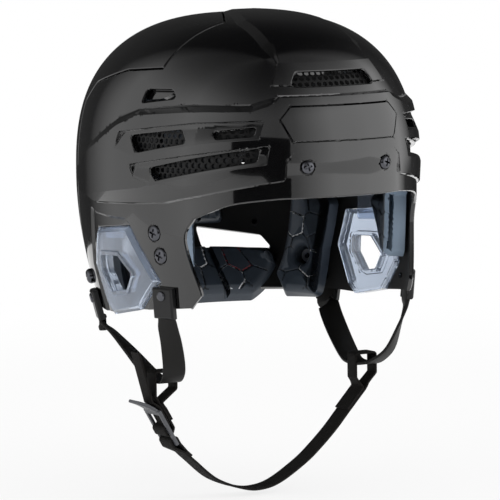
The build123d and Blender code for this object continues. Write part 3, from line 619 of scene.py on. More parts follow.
def front_shell_height(points, normals):
    """Height of the front shell's outside over the plain dome."""
    band = np.clip(band_ramp(points, normals), 0, 1)
    facet = np.clip(-above_crease(points, normals) / FACET_SPAN, 0, 1)
    facet *= eased(-points[:, 1], *FACET_END)
    raised = (BAND_RISE - FACET_DROP * facet) * band
    for _, depth in louvres:
        raised -= LOUVRE_DEPTH * depth(points, normals)
    lean = FACET_LEAN * np.clip((FACET_TOP - points[:, 2]) / FACET_HEIGHT, 0, 1)
    lean *= ramp(vent_panel(points, normals), EDGE_WIDTH)
    ridge = (RIDGE_RISE - lean) * np.clip(ridge_ramp(points, normals), 0, 1)
    height = np.maximum(np.maximum(raised, ridge), brow_panel(points, normals))
    height -= REBATE_DEPTH * ramp(ear_rebate(points, normals), REBATE_EDGE)
    height -= BADGE_DEPTH * ramp(badge_pocket(points, normals) + PIECE_GAP, STEEP)
    for bore in side_bores:
        height -= COUNTERBORE_DEPTH * ramp(bore(points, normals), STEEP)
    floor = BAND_RISE - BROW_BORE_DEPTH
    bored = ramp(brow_bore(points, normals), STEEP)
    height = height * (1 - bored) + np.minimum(height, floor) * bored
    return height - rim_drop(front_shell_edge(points, normals))


def shifted(line, amount):
    """The same line moved towards its inside."""
    return lambda points, normals: line(points, normals) - amount


skin = Skin(dome(), (-4, -140, -95), (110, 90, 120))
skin.keep(front_shell_edge)
for depth in (0.3, RIM_RADIUS):
    skin.cut(shifted(front_shell_edge, depth))
for slope in (band_ramp, ridge_ramp):
    skin.cut(slope)
    skin.cut(shifted(slope, 1))
for whole, _ in louvres:
    skin.cut(whole)
    skin.cut(shifted(whole, LOUVRE_EDGE))
skin.cut(ear_rebate)
skin.cut(shifted(ear_rebate, REBATE_EDGE))
skin.cut(shifted(badge_pocket, -PIECE_GAP))
skin.cut(shifted(badge_pocket, STEEP - PIECE_GAP))
for bore in side_bores + [brow_bore]:
    skin.cut(bore)
    skin.cut(shifted(bore, STEEP))
skin.cut(above_crease)
skin.cut(lambda points, normals: np.where(points[:, 1] < 0, points[:, 2] - FACET_TOP, 1.0))


def level(height):
    """The same height everywhere."""
    return lambda points, normals: np.full(len(points), height)


def inside_marks(faces):
    """Mark of each face of a shell: 1 on its plain inside and 0 on the rest."""
    marks = [np.full(len(part), float(index % 3 == 1)) for index, part in enumerate(faces)]
    return np.concatenate(marks)


inner_wall = level(-SHELL_WALL)
places, faces, normals = closed_layer(skin, front_shell_height, inner_wall)
front_shell = mesh_piece("shell_front", places, faces, normals, inside_marks(faces))


def linear(code):
    """Linear colour of an sRGB hex code."""
    parts = [int(code[k:k + 2], 16) / 255 for k in (1, 3, 5)]
    return tuple(c / 12.92 if c <= 0.04045 else ((c + 0.055) / 1.055) ** 2.4 for c in parts) + (1.0,)


def node(tree, kind, links=(), settings=(), **values):
    """Adds a node: settings are its properties, values its inputs by name and links what feeds them."""
    added = tree.nodes.new(kind)
    for key, value in dict(settings).items():
        setattr(added, key, value)
    for key, value in values.items():
        added.inputs[key.replace("_", " ")].default_value = value
    for key, source in dict(links).items():
        tree.links.new(source, added.inputs[key])
    return added


def maths(tree, operation, *terms):
    """Output of a new Math node, whose terms are numbers or outputs of other nodes."""
    added = node(tree, "ShaderNodeMath", settings={"operation": operation})
    for place, term in enumerate(terms):
        if isinstance(term, float):
            added.inputs[place].default_value = term
        else:
            tree.links.new(term, added.inputs[place])
    return added.outputs[0]


def material(name, colour, roughness, **values):
    """Material with a Principled shader, its tree and that shader."""
    made = bpy.data.materials.new(name)
    made.use_nodes = True
    shader = made.node_tree.nodes["Principled BSDF"]
    shader.inputs["Base Color"].default_value = linear(colour)
    shader.inputs["Roughness"].default_value = roughness
    for key, value in values.items():
        shader.inputs[key.replace("_", " ")].default_value = value
    return made, made.node_tree, shader


def wear(tree, shader, grain_mm, depth_mm, low, high):
    """Fine unevenness of a moulded surface: bump of a real size, and roughness between two values."""
    places = node(tree, "ShaderNodeTexCoord").outputs["Object"]
    grain = node(tree, "ShaderNodeTexNoise", {"Vector": places}, Scale=1 / (grain_mm * MM), Detail=3.0)
    broad = node(tree, "ShaderNodeTexNoise", {"Vector": places}, Scale=1 / (30 * MM), Detail=2.0)
    bump = node(tree, "ShaderNodeBump", {"Height": grain.outputs["Fac"]}, Distance=depth_mm * MM,
                Strength=1.0)
    spread = node(tree, "ShaderNodeMapRange", {"Value": broad.outputs["Fac"]}, To_Min=low, To_Max=high)
    tree.links.new(bump.outputs["Normal"], shader.inputs["Normal"])
    tree.links.new(spread.outputs["Result"], shader.inputs["Roughness"])


# Gloss black ABS under clear lacquer: near black, with clear and slightly soft reflections. The
# inside has no lacquer, so it is dull.
gloss_black, tree, shader = material("lacquered_black_abs", "#0A0A0B", 0.08, IOR=1.5, Coat_Weight=1.0)
shader.inputs["Coat Roughness"].default_value = 0.03
wear(tree, shader, 22, 0.02, 0.05, 0.12)
gloss = shader.inputs["Roughness"].links[0].from_socket
dull = node(tree, "ShaderNodeAttribute", settings={"attribute_name": "mark"}).outputs["Fac"]
tree.links.new(maths(tree, "SUBTRACT", 1.0, dull), shader.inputs["Coat Weight"])
rough = maths(tree, "MAXIMUM", maths(tree, "MULTIPLY", dull, 0.7), gloss)
tree.links.new(rough, shader.inputs["Roughness"])


def finish_piece(piece, finish, body, slot, *nodes):
    """Gives a piece its material and body and hides the CAD nodes that it stands for. The slot is not used.
    """
    piece.data.materials.clear()
    piece.data.materials.append(finish)
    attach(piece, body)
    if nodes:
        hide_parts(*nodes)


finish_piece(front_shell, gloss_black, "shell", "shell", "front_shell")

# Rear shell
# The back of the head, a second gloss black moulding. Its front edge carries a thinner tongue
# that slides under the front shell when the size is set.
LAP_CLEARANCE = 0.6
LAP_LENGTH = 22.0
TONGUE_SIZE = (
    HALF_WIDTH - SHELL_WALL - 2 * LAP_CLEARANCE - PIECE_GAP,
    FRONT_REACH - SHELL_WALL - LAP_CLEARANCE - SIZE_TRAVEL / 2,
    REAR_REACH - SHELL_WALL - LAP_CLEARANCE - SIZE_TRAVEL / 2,
    CROWN_HEIGHT - SHELL_WALL - 2 * LAP_CLEARANCE,
    -SIZE_TRAVEL / 2,
)
REAR_HEM_SHARE = -0.99
REAR_EDGE_DEPTH = 7.2
SCOOP_DEPTH = 1.2
SCOOP_SLOPE = 2.5
PANEL_SLOPE = 2.0
rear_vent_shares = [
    [(0.29, -0.53), (0.29, -0.70), (0.70, -0.70), (0.66, -0.60)],
    [(0.28, 0.30), (0.28, 0.40), (0.56, 0.34), (0.60, 0.26)],
    [(0.30, -0.10), (0.30, 0.01), (0.66, -0.03), (0.68, -0.11)],
]
rear_vents = []
for shares in rear_vent_shares:
    corners = [(x * HALF_WIDTH, height_at(z)) for x, z in shares]
    rear_vents.append(outline([0, 2], np.array(corners), 1.6, (1, 1)))
rear_panel = outline([0, 2], from_front([(0.20, 0.62), (0.16, -0.20), (0.20, -1.6)]), 3.0, (1, 1))
rear_scoop = outline([0, 2], from_front([(0.74, 0.46), (0.80, 0.02), (0.70, -0.08)]), 4.0, (1, 1))


def rear_shell_edge(points, normals):
    """How far points lie inside the rear shell, from its rims and vents."""
    inside = np.minimum(behind_seam(points, normals), points[:, 2] - REAR_HEM_SHARE * SKIRT_DEPTH)
    for vent in rear_vents:
        inside = np.minimum(inside, -vent(points, normals))
    return inside


def rear_shell_height(points, normals):
    """Height of the rear shell's outside over the plain dome."""
    scoop = ramp(rear_scoop(points, normals), SCOOP_SLOPE)
    scoop = scoop * (1 - ramp(rear_panel(points, normals), PANEL_SLOPE))
    return -SCOOP_DEPTH * scoop - rim_drop(rear_shell_edge(points, normals))


def rear_shell_inside(points, normals):
    """Inside of the rear shell, thicker along the seam, where the tongue starts."""
    return np.where(behind_seam(points, normals) < SHELL_WALL, -REAR_EDGE_DEPTH, -SHELL_WALL)


def tongue_edge(points, normals):
    """How far points lie inside the tongue."""
    seam = side_seam(points, normals)
    inside = np.minimum(seam + LAP_LENGTH, SHELL_WALL - behind_seam(points, normals))
    return np.minimum(inside, points[:, 2] - REAR_HEM_SHARE * SKIRT_DEPTH)


skin = Skin(dome(), (-4, -60, -95), (110, 145, 120))
skin.keep(rear_shell_edge)
for depth in (0.3, RIM_RADIUS):
    skin.cut(shifted(rear_shell_edge, depth))
skin.cut(rear_scoop)
skin.cut(shifted(rear_scoop, SCOOP_SLOPE))
skin.cut(rear_panel)
skin.cut(shifted(rear_panel, PANEL_SLOPE))
skin.cut(shifted(behind_seam, SHELL_WALL))
places, faces, normals = closed_layer(skin, rear_shell_height, rear_shell_inside)
marks = inside_marks(faces)
tongue = Skin(TONGUE_SIZE, (-4, -90, -95), (110, 100, 120))
tongue.keep(tongue_edge)
tongue_places, tongue_faces, tongue_normals = closed_layer(tongue, level(0.0), inner_wall)
faces += [part + len(places) for part in tongue_faces]
marks = np.concatenate([marks, inside_marks(tongue_faces)])
places = np.vstack([places, tongue_places])
rear_shell = mesh_piece("shell_rear", places, faces, normals + tongue_normals, marks)
finish_piece(rear_shell, gloss_black, "rear", "shell", "rear_shell")

# Badge plate
# A gloss black plate snapped into the pocket of the brow frame, moulded with a bevelled edge and
# left bare.
BADGE_STAND = 0.3
BADGE_EDGE = 1.1
BADGE_BEVEL = 0.9
plate_line = front_outline(badge_shares, 1.5)


def plate_height(points, normals):
    """Height of the badge plate, with its bevelled edge."""
    return BAND_RISE + BADGE_STAND - BADGE_BEVEL * (1 - ramp(plate_line(points, normals), BADGE_EDGE))


skin = Skin(dome(), (-4, -140, 20), (60, 0, 70))
skin.keep(plate_line)
skin.cut(shifted(plate_line, BADGE_EDGE))
badge = mesh_piece("badge_plate", *closed_layer(skin, plate_height, level(BAND_RISE - BADGE_DEPTH)))
finish_piece(badge, gloss_black, "shell", "badge", "brow_plate")

# Screws
# Cross-head machine screws in black zinc-plated steel: two in the brow, two on each side and one
# on each side that locks the size. Plated nuts hold them inside.
SCREW_HEAD_HEIGHT = 2.8
BROW_HEAD_HEIGHT = 4.0
LOCK_HEAD_RADIUS = 5.2
LOCK_HEAD_HEIGHT = 4.2
SCREW_SHANK_RADIUS = 2.0
HEAD_SIDES = 40
HEAD_PROFILE = [(0.96, 0.0), (1.0, 0.06), (1.0, 0.34), (0.95, 0.55), (0.84, 0.76), (0.66, 0.91)]
HEAD_PROFILE += [(0.42, 0.98), (0.2, 1.0)]


def tree_inputs(name, **sizes):
    """New geometry tree with a geometry, named sizes and a material, and its first and last node."""
    tree = bpy.data.node_groups.new(name, "GeometryNodeTree")
    tree.interface.new_socket("Geometry", in_out="INPUT", socket_type="NodeSocketGeometry")
    for key, value in sizes.items():
        label = key.replace("_", " ")
        socket = tree.interface.new_socket(label, in_out="INPUT", socket_type="NodeSocketFloat")
        socket.default_value = value
    tree.interface.new_socket("Material", in_out="INPUT", socket_type="NodeSocketMaterial")
    tree.interface.new_socket("Geometry", in_out="OUTPUT", socket_type="NodeSocketGeometry")
    return tree, node(tree, "NodeGroupInput").outputs, tree.nodes.new("NodeGroupOutput")


def end_tree(tree, given, last, points, shape, spin=None):
    """Ends a tree: the shape stands on every point, along its aim, and is made real."""
    vector = {"data_type": "FLOAT_VECTOR"}
    aim = node(tree, "GeometryNodeInputNamedAttribute", settings=vector, Name="aim")
    turned = node(tree, "FunctionNodeAlignRotationToVector", {"Vector": aim.outputs[0]}, {"axis": "Z"})
    if spin:
        along = node(tree, "GeometryNodeInputNamedAttribute", settings=vector, Name=spin)
        links = {"Rotation": turned.outputs[0], "Vector": along.outputs[0]}
        turned = node(tree, "FunctionNodeAlignRotationToVector", links, {"axis": "X", "pivot_axis": "Z"})
    links = {"Points": points, "Instance": shape, "Rotation": turned.outputs[0]}
    placed = node(tree, "GeometryNodeInstanceOnPoints", links)
    real = node(tree, "GeometryNodeRealizeInstances", {"Geometry": placed.outputs[0]})
    links = {"Geometry": real.outputs[0], "Material": given["Material"]}
    done = node(tree, "GeometryNodeSetMaterial", links)
    tree.links.new(done.outputs[0], last.inputs[0])
    return tree


def head_tree(name, recess):
    """Tree that sets a domed head with a shank, with or without a cross recess, on every point."""
    sizes = {"Head_Radius": 0.005, "Head_Height": 0.002, "Shank_Radius": 0.002, "Shank_Length": 0.006}
    tree, given, last = tree_inputs(name, **sizes)
    head = tree.nodes.new("GeometryNodeJoinGeometry")
    for (wide, low), (narrow, high) in zip(HEAD_PROFILE, HEAD_PROFILE[1:]):
        ring = node(tree, "GeometryNodeMeshCone", settings={"fill_type": "NONE"}, Vertices=HEAD_SIDES,
                    Radius_Top=narrow, Radius_Bottom=wide, Depth=max(high - low, 1e-4))
        lifted = node(tree, "GeometryNodeTransform", {"Geometry": ring.outputs["Mesh"]},
                      Translation=(0, 0, low))
        tree.links.new(lifted.outputs[0], head.inputs[0])
    for (wide, height), flip in ((HEAD_PROFILE[0], pi), (HEAD_PROFILE[-1], 0)):
        disc = node(tree, "GeometryNodeMeshCircle", settings={"fill_type": "NGON"}, Vertices=HEAD_SIDES,
                    Radius=wide)
        lifted = node(tree, "GeometryNodeTransform", {"Geometry": disc.outputs[0]},
                      Translation=(0, 0, height), Rotation=(flip, 0, 0))
        tree.links.new(lifted.outputs[0], head.inputs[0])
    closed = node(tree, "GeometryNodeMergeByDistance", {"Geometry": head.outputs[0]}, Distance=1e-4)
    links = {"X": given["Head Radius"], "Y": given["Head Radius"], "Z": given["Head Height"]}
    scale = node(tree, "ShaderNodeCombineXYZ", links).outputs[0]
    shaped = node(tree, "GeometryNodeTransform", {"Geometry": closed.outputs[0], "Scale": scale}).outputs[0]
    if recess:
        lift = node(tree, "ShaderNodeCombineXYZ", {"Z": given["Head Height"]})
        for long, short in ((1.15, 0.27), (0.27, 1.15)):
            size = node(tree, "ShaderNodeVectorMath", {0: scale}, {"operation": "MULTIPLY"})
            size.inputs[1].default_value = (long, short, 1.1)
            bar = node(tree, "GeometryNodeMeshCube", {"Size": size.outputs[0]}).outputs["Mesh"]
            raised = node(tree, "GeometryNodeTransform", {"Geometry": bar, "Translation": lift.outputs[0]})
            links = {"Mesh 1": shaped, "Mesh 2": raised.outputs[0]}
            cut = node(tree, "GeometryNodeMeshBoolean", links, {"operation": "DIFFERENCE", "solver": "EXACT"})
            shaped = cut.outputs[0]
    links = {"Radius": given["Shank Radius"], "Depth": given["Shank Length"]}
    shank = node(tree, "GeometryNodeMeshCylinder", links, Vertices=16)
    drop = maths(tree, "MULTIPLY", given["Shank Length"], -0.5)
    fall = node(tree, "ShaderNodeCombineXYZ", {"Z": drop})
    links = {"Geometry": shank.outputs["Mesh"], "Translation": fall.outputs[0]}
    whole = node(tree, "GeometryNodeJoinGeometry", {0: shaped})
    tree.links.new(node(tree, "GeometryNodeTransform", links).outputs[0], whole.inputs[0])
    return end_tree(tree, given, last, given["Geometry"], whole.outputs[0])


def grown(name, tree, finish, places, aims, spins=None, **sizes):
    """Plain mesh object that a tree makes on points in millimetres that face along their aims."""
    mesh = bpy.data.meshes.new(name)
    mesh.from_pydata([Vector(place) * MM for place in places], [], [])
    for key, vectors in (("aim", aims), ("spin", spins)):
        if vectors is not None:
            layer = mesh.attributes.new(key, "FLOAT_VECTOR", "POINT")
            layer.data.foreach_set("vector", np.array(vectors, dtype=np.float32).ravel())
    source = new_object(name + "_places", mesh)
    modifier = source.modifiers.new("grow", "NODES")
    modifier.node_group = tree
    for socket in tree.interface.items_tree:
        if socket.in_out == "INPUT" and socket.socket_type == "NodeSocketFloat":
            modifier[socket.identifier] = sizes[socket.name.replace(" ", "_")] * MM
        elif socket.in_out == "INPUT" and socket.socket_type == "NodeSocketMaterial":
            modifier[socket.identifier] = finish
    made = bpy.data.meshes.new_from_object(source.evaluated_get(bpy.context.evaluated_depsgraph_get()))
    bpy.data.objects.remove(source)
    made.name = name
    made.set_sharp_from_angle(angle=radians(35))
    return new_object(name, made)


def both_sides(places):
    """Places and aims on the wearer's left, and their mirror images."""
    flip = np.array([-1, 1, 1])
    pairs = [(place * sign, way * sign) for place, way in places for sign in (1, flip)]
    return [place for place, _ in pairs], [way for _, way in pairs]


black_zinc, tree, shader = material("black_zinc_steel", "#5E5F64", 0.14, Metallic=1.0)
wear(tree, shader, 0.6, 0.01, 0.08, 0.2)
bright_zinc, tree, shader = material("bright_zinc_steel", "#C2C3C6", 0.3, Metallic=1.0)
wear(tree, shader, 0.8, 0.01, 0.25, 0.42)

screw_tree = head_tree("cross_head_screw", True)
sunk_brow = (brow_screw_place - brow_screw_way * BROW_BORE_DEPTH, brow_screw_way)
sunk_side = [(place - way * COUNTERBORE_DEPTH, way) for place, way in side_screw_places]
lock = [(lock_place, lock_way)]
for name, places, radius, height, length, body, replaced in (
    ("brow_cross_screws", [sunk_brow], BROW_HEAD_RADIUS, BROW_HEAD_HEIGHT, 5.2, "shell", "brow_screws"),
    ("side_cross_screws", sunk_side, SIDE_HEAD_RADIUS, SCREW_HEAD_HEIGHT, 4.2, "shell", "side_screws"),
    ("lock_cross_screws", lock, LOCK_HEAD_RADIUS, LOCK_HEAD_HEIGHT, 13.5, "rear", "size_lock_screws"),
):
    spots, aims = both_sides(places)
    screws = grown(name, screw_tree, black_zinc, spots, aims, Head_Radius=radius, Head_Height=height,
                   Shank_Radius=SCREW_SHANK_RADIUS, Shank_Length=length)
    finish_piece(screws, black_zinc, body, "screw_metal", replaced)
for name in ("brow_nuts", "side_nuts", "size_lock_nuts"):
    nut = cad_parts[name]
    nut.data.materials.clear()
    nut.data.materials.append(bright_zinc)

# Honeycomb meshes
# Black nylon honeycomb grilles behind the vents, moulded flat and bent to the shell.
LINER_SKIN = SHELL_WALL + PIECE_GAP
MESH_THICKNESS = 1.4
CELL_PITCH = 4.5
CELL_WALL = 0.45
ROW_STEP = 0.866
mesh_shares = [(-0.03, 0.36), (-0.62, 0.44), (-0.85, 0.44), (-0.85, 0.13), (-0.36, 0.005), (-0.10, 0.10)]
front_mesh_shares = [(0.29, 0.74), (0.36, 0.56)]

tree, given, last = tree_inputs("honeycomb", Cell_Radius=0.0036, Wall=0.0009, Thickness=0.0014)
links = {"Radius": given["Cell Radius"]}
hexagon = node(tree, "GeometryNodeCurvePrimitiveCircle", links, Resolution=6)
links = {"Width": given["Thickness"], "Height": given["Wall"]}
section = node(tree, "GeometryNodeCurvePrimitiveQuadrilateral", links)
links = {"Curve": hexagon.outputs[0], "Profile Curve": section.outputs[0]}
ring = node(tree, "GeometryNodeCurveToMesh", links)
comb_tree = end_tree(tree, given, last, given["Geometry"], ring.outputs[0], "spin")

nylon, tree, shader = material("black_nylon", "#111112", 0.5, IOR=1.53, Specular_IOR_Level=0.3)
wear(tree, shader, 0.7, 0.02, 0.45, 0.6)


def staggered(low, high, pitch):
    """Places of a grid in which every second row is moved half a step."""
    grid = []
    for row, v in enumerate(np.arange(low[1], high[1], pitch * ROW_STEP)):
        for u in np.arange(low[0], high[0], pitch) + (row % 2) * pitch / 2:
            grid.append((u, v))
    return grid


def comb_points(axes, line, low, high, start):
    """Middles, normals and directions of the honeycomb cells inside an outline, on the mesh's layer."""
    way = np.array(start, float)
    spots, aims, spins = [], [], []
    for flat in staggered(low, high, CELL_PITCH):
        origin = np.zeros(3)
        origin[axes] = flat
        point, normal = place_on_dome(origin, way)
        if line(point[None], normal[None])[0] > CELL_PITCH / 2:
            spin = np.zeros(3)
            spin[axes[1]] = 1
            spots.append(point - normal * (LINER_SKIN + MESH_THICKNESS / 2))
            aims.append(normal)
            spins.append(spin - normal * normal[axes[1]])
    return np.array(spots), np.array(aims), np.array(spins)


side_low, side_high = from_side([(-0.85, 0.005), (-0.03, 0.44)])
side_comb = comb_points([1, 2], side_outline(mesh_shares), side_low, side_high, (1, 0, 0))
front_low, front_high = (-0.36 * HALF_WIDTH, 0.56 * CROWN_HEIGHT), (0.36 * HALF_WIDTH, 0.74 * CROWN_HEIGHT)
front_comb = comb_points([0, 2], front_outline(front_mesh_shares), front_low, front_high, (0, -1, 0))
mirrored_comb = [part * [-1, 1, 1] for part in side_comb]
for name, comb, replaced in (
    ("honeycomb_left", side_comb, "vent_mesh_left"),
    ("honeycomb_right", mirrored_comb, "vent_mesh_right"),
    ("honeycomb_front", front_comb, "front_vent_mesh"),
):
    sizes = {"Cell_Radius": CELL_PITCH / 3**0.5, "Wall": CELL_WALL, "Thickness": MESH_THICKNESS}
    finish_piece(grown(name, comb_tree, nylon, *comb, **sizes), nylon, "shell", "vent_mesh", replaced)

# Ear covers
# Curved hexagonal guards of milky polycarbonate, one over each ear, with a bevelled border, a
# raised rim round the sound hole and a tab behind the shell.
EAR_STAND = 1.4
EAR_THICKNESS = 8.0
EAR_BEVEL = 3.2
EAR_BEVEL_DROP = 2.2
EAR_WALL = 2.4
EAR_RIM_WIDTH = 2.6
EAR_RIM_RISE = 0.9
EAR_RIM_SLOPE = 0.7
ear_hole_shares = [(0.141, -0.55), (-0.027, -0.536), (-0.15, -0.66), (-0.095, -0.782), (0.053, -0.814)]
ear_hole_shares += [(0.138, -0.673)]
ear_tab_shares = [(0.11, -0.42), (0.11, -0.18), (-0.07, -0.18), (-0.07, -0.40)]
ear_outline = side_outline(ear_cover_shares, 1.0)
ear_hole = side_outline(ear_hole_shares, 1.0)
ear_tab = side_outline(ear_tab_shares, 2.0)


def ear_edge(points, normals):
    """How far points lie inside the ear cover."""
    return np.minimum(ear_outline(points, normals), -ear_hole(points, normals))


def ear_height(points, normals):
    """Outside of the ear cover: bevelled border, flat face and a raised rim round the hole."""
    border = EAR_STAND - EAR_BEVEL_DROP * (1 - ramp(ear_outline(points, normals), EAR_BEVEL))
    out = -ear_hole(points, normals)
    rim = EAR_RIM_RISE * ramp(EAR_RIM_WIDTH + EAR_RIM_SLOPE - out, EAR_RIM_SLOPE)
    return border + rim - rim_drop(np.maximum(out, 0.0)) * 0.8


def ear_inside(points, normals):
    """Inside of the ear cover, with a deep wall along its border and hole."""
    wall = ear_edge(points, normals) < EAR_WALL
    return np.where(wall, EAR_STAND - EAR_THICKNESS, EAR_STAND - EAR_BEVEL_DROP - EAR_WALL)


polycarbonate, tree, shader = material("milky_polycarbonate", "#DDE9FB", 0.12, IOR=1.585,
                                       Transmission_Weight=0.86)
wear(tree, shader, 9, 0.03, 0.07, 0.16)

skin = Skin(dome(), (60, -60, -95), (110, 60, -15))
skin.keep(ear_edge)
for line, amounts in ((ear_outline, (EAR_BEVEL,)), (ear_edge, (EAR_WALL, EAR_WALL + 0.3))):
    for amount in amounts:
        skin.cut(shifted(line, amount))
for amount in (-0.3, -RIM_RADIUS, -EAR_RIM_WIDTH, -EAR_RIM_WIDTH - EAR_RIM_SLOPE):
    skin.cut(shifted(ear_hole, amount))
cover = closed_layer(skin, ear_height, ear_inside, mirror=False)
skin = Skin(dome(), (60, -60, -45), (110, 60, -5))
skin.keep(ear_tab)
tab = closed_layer(skin, level(-LINER_SKIN - 0.1), level(-LINER_SKIN - 2.1), mirror=False)
tab_faces = [part + len(cover[0]) for part in tab[1]]
left_cover = [np.vstack([cover[0], tab[0]]), cover[1] + tab_faces, cover[2] + tab[2]]


def mirror_image(places, faces, normals):
    """The same closed layer on the wearer's right."""
    flip = [-1, 1, 1]
    flipped = []
    for part, face in zip(normals, faces):
        flipped.append((part.reshape(-1, face.shape[1], 3)[:, ::-1] * flip).reshape(-1, 3))
    return places * flip, [part[:, ::-1] for part in faces], flipped


for side, shape in (("left", left_cover), ("right", mirror_image(*left_cover))):
    cover = mesh_piece(f"ear_guard_{side}", *shape)
    finish_piece(cover, polycarbonate, "shell", "ear_plastic", f"ear_cover_{side}")

# Foam liner
# Heat-pressed dual-density foam pads with a smooth laminated face. Pressed channels split the
# face into irregular cells, and the face is printed with fine lines. Glued inside the shells.
PAD_GAP = 3.0
PAD_EDGE = 5.0
PAD_ROUND = 1.6
PAD_CROWN = 1.6
PAD_CROWN_REACH = 11.0
CHANNEL_HALF_WIDTH = 0.3
CHANNEL_SLOPE = 0.5
CHANNEL_DEPTH = 0.45
CELL_SPACING = 17.0
CELL_SCATTER = 4.0
FOAM_GROOVE_WIDTH = 5.0
FOAM_GROOVE_DEPTH = 6.0
FOAM_GROOVE_SLOPE = 1.5
EDGE_TINT_TOP = 0.0
EDGE_TINT_FRONT = -57.0
# Near black marks the printed lines along the channels and is also painted shade on the pads' backs and on
# their walls above the brow line. The pale blue-grey edge mark is a painted highlight on the temple pads'
# front edges and lower walls.
PLAIN, PRINTED_LINE_AND_SHADE, PALE, RED, PAINTED_LIT_EDGE = 0.0, 1.0, 2.0, 3.0, 4.0


def foam_cells(axes, low, high, seed):
    """Distance from the nearest line between irregular cells, and where the cell's middle is."""
    dice = np.random.default_rng(seed)
    low, high = np.array(low) - CELL_SPACING, np.array(high) + CELL_SPACING
    seeds = np.array(staggered(low, high, CELL_SPACING))
    seeds = seeds + dice.uniform(-CELL_SCATTER, CELL_SCATTER, (len(seeds), 2))

    def cells(points):
        squares = ((points[:, axes][:, None] - seeds) ** 2).sum(2)
        nearest = squares.argmin(1)
        own = squares[np.arange(len(points)), nearest]
        spans = np.linalg.norm(seeds[nearest][:, None] - seeds, axis=2)
        gaps = (squares - own[:, None]) / np.maximum(2 * spans, 1e-9)
        gaps[np.arange(len(points)), nearest] = FAR
        return gaps.min(1), seeds[nearest]

    return cells


def pad(line, depth, box, cells, mirror, size=dome(-LINER_SKIN), back=0.0, groove=None, painted=(), edge=0.0):
    """Foam pad inside an outline: crowned face towards the head, rounded edges and pressed channels."""
    skin = Skin(size, *box)
    skin.keep(line)
    for amount in (0.5, PAD_ROUND, PAD_EDGE):
        skin.cut(shifted(line, amount))

    def channel(points, normals):
        return cells(points)[0] - CHANNEL_HALF_WIDTH

    skin.cut(channel)
    skin.cut(shifted(channel, CHANNEL_SLOPE))
    if groove:
        skin.cut(groove)
        skin.cut(shifted(groove, FOAM_GROOVE_SLOPE))

    def face(points, normals):
        inside = np.clip(line(points, normals), 0, None)
        short = np.clip(PAD_EDGE - inside, 0, PAD_EDGE)
        rounding = PAD_EDGE - np.sqrt(PAD_EDGE**2 - short**2)
        pressed = CHANNEL_DEPTH * (1 - ramp(channel(points, normals), CHANNEL_SLOPE)) * ramp(inside, PAD_EDGE)
        if groove:
            pressed = pressed + FOAM_GROOVE_DEPTH * ramp(groove(points, normals), FOAM_GROOVE_SLOPE)
        return -depth + rounding + PAD_CROWN * np.exp(-inside / PAD_CROWN_REACH) + pressed

    places, faces, normals = closed_layer(skin, face, level(-back), mirror)
    middles, middle_normals = skin.middles()
    gaps, cell_middles = cells(middles)
    marks = np.where(gaps < CHANNEL_HALF_WIDTH, PRINTED_LINE_AND_SHADE, PLAIN)
    ring = (gaps > CHANNEL_HALF_WIDTH) & (gaps < CHANNEL_HALF_WIDTH + CHANNEL_SLOPE)
    for place, paint in painted:
        off = np.linalg.norm(cell_middles - place, axis=1)
        marks = np.where(ring & (off == off.min()), paint, marks)
    inside = line(middles, middle_normals)
    marks = np.where(inside < PAD_ROUND, PLAIN, marks)
    # Painted highlight: the rounded front edge of a temple pad below the brow line is coloured pale
    # blue-grey, like its lower walls.
    front_side = (inside < PAD_EDGE) & (middles[:, 2] < EDGE_TINT_TOP) & (middles[:, 1] < EDGE_TINT_FRONT)
    marks = np.where(front_side & (edge > 0), edge, marks)
    # Painted shade: walls above the brow line and every back face are coloured near black. Below the brow
    # line the walls keep the foam colour, or take the pale painted highlight on the temple pads.
    wall_marks = np.where(places[faces[2]][:, :, 2].mean(1) < EDGE_TINT_TOP, edge, PRINTED_LINE_AND_SHADE)
    all_marks = np.concatenate([marks, np.ones(len(marks)), wall_marks])
    if mirror:
        all_marks = np.concatenate([all_marks, all_marks])
    return places, faces, normals, all_marks


laminated_foam, tree, shader = material("laminated_foam", "#3C434C", 0.42, IOR=1.45)
mark = node(tree, "ShaderNodeAttribute", settings={"attribute_name": "mark"}).outputs["Fac"]
colour = node(tree, "ShaderNodeRGB").outputs[0]
colour.default_value = linear("#3B434D")
# Near black gives the printed lines and the painted shade, pale grey and red the printed cell outlines, and
# pale blue-grey the painted highlight on the temple pads' front edges.
for paint, code in ((PRINTED_LINE_AND_SHADE, "#14171B"), (PALE, "#D9DCE0"), (RED, "#7E1F28"), (PAINTED_LIT_EDGE, "#8799AC")):
    chosen = maths(tree, "COMPARE", mark, paint, 0.25)
    mixed = node(tree, "ShaderNodeMix", {"Factor": chosen, "A": colour}, {"data_type": "RGBA"})
    mixed.inputs["B"].default_value = linear(code)
    colour = mixed.outputs["Result"]
tree.links.new(colour, shader.inputs["Base Color"])
wear(tree, shader, 0.9, 0.05, 0.34, 0.5)

front_pad_shares = [(0.46, 0.46), (0.58, 0.36), (0.58, -0.02), (0.50, -0.06)]
temple_pad_shares = [(-0.78, 0.30), (-0.37, 0.30), (-0.375, -0.18), (-0.18, -0.18), (-0.18, -0.27)]
temple_pad_shares += [(-0.34, -0.57), (-0.37, -0.62), (-0.46, -0.64), (-0.49, -0.59), (-0.495, -0.30)]
temple_pad_shares += [(-0.50, -0.16), (-0.66, -0.03), (-0.74, 0.02)]
side_pad_shares = [(-0.31, 0.42), (0.28, 0.31), (0.28, -0.10), (-0.34, -0.14)]
crown_pad_shares = [(-0.40, 1.2), (-0.40, 0.70), (0.30, 0.70), (0.30, 1.2)]
rear_side_pad_shares = [(0.34, 0.22), (0.455, 0.22), (0.475, -0.20), (0.475, -1.04), (0.262, -1.04)]
rear_side_pad_shares += [(0.262, -0.66), (0.225, -0.30), (0.31, -0.14)]
occipital_pad_shares = [(0.69, -0.72), (0.67, -1.00), (0.56, -1.08)]
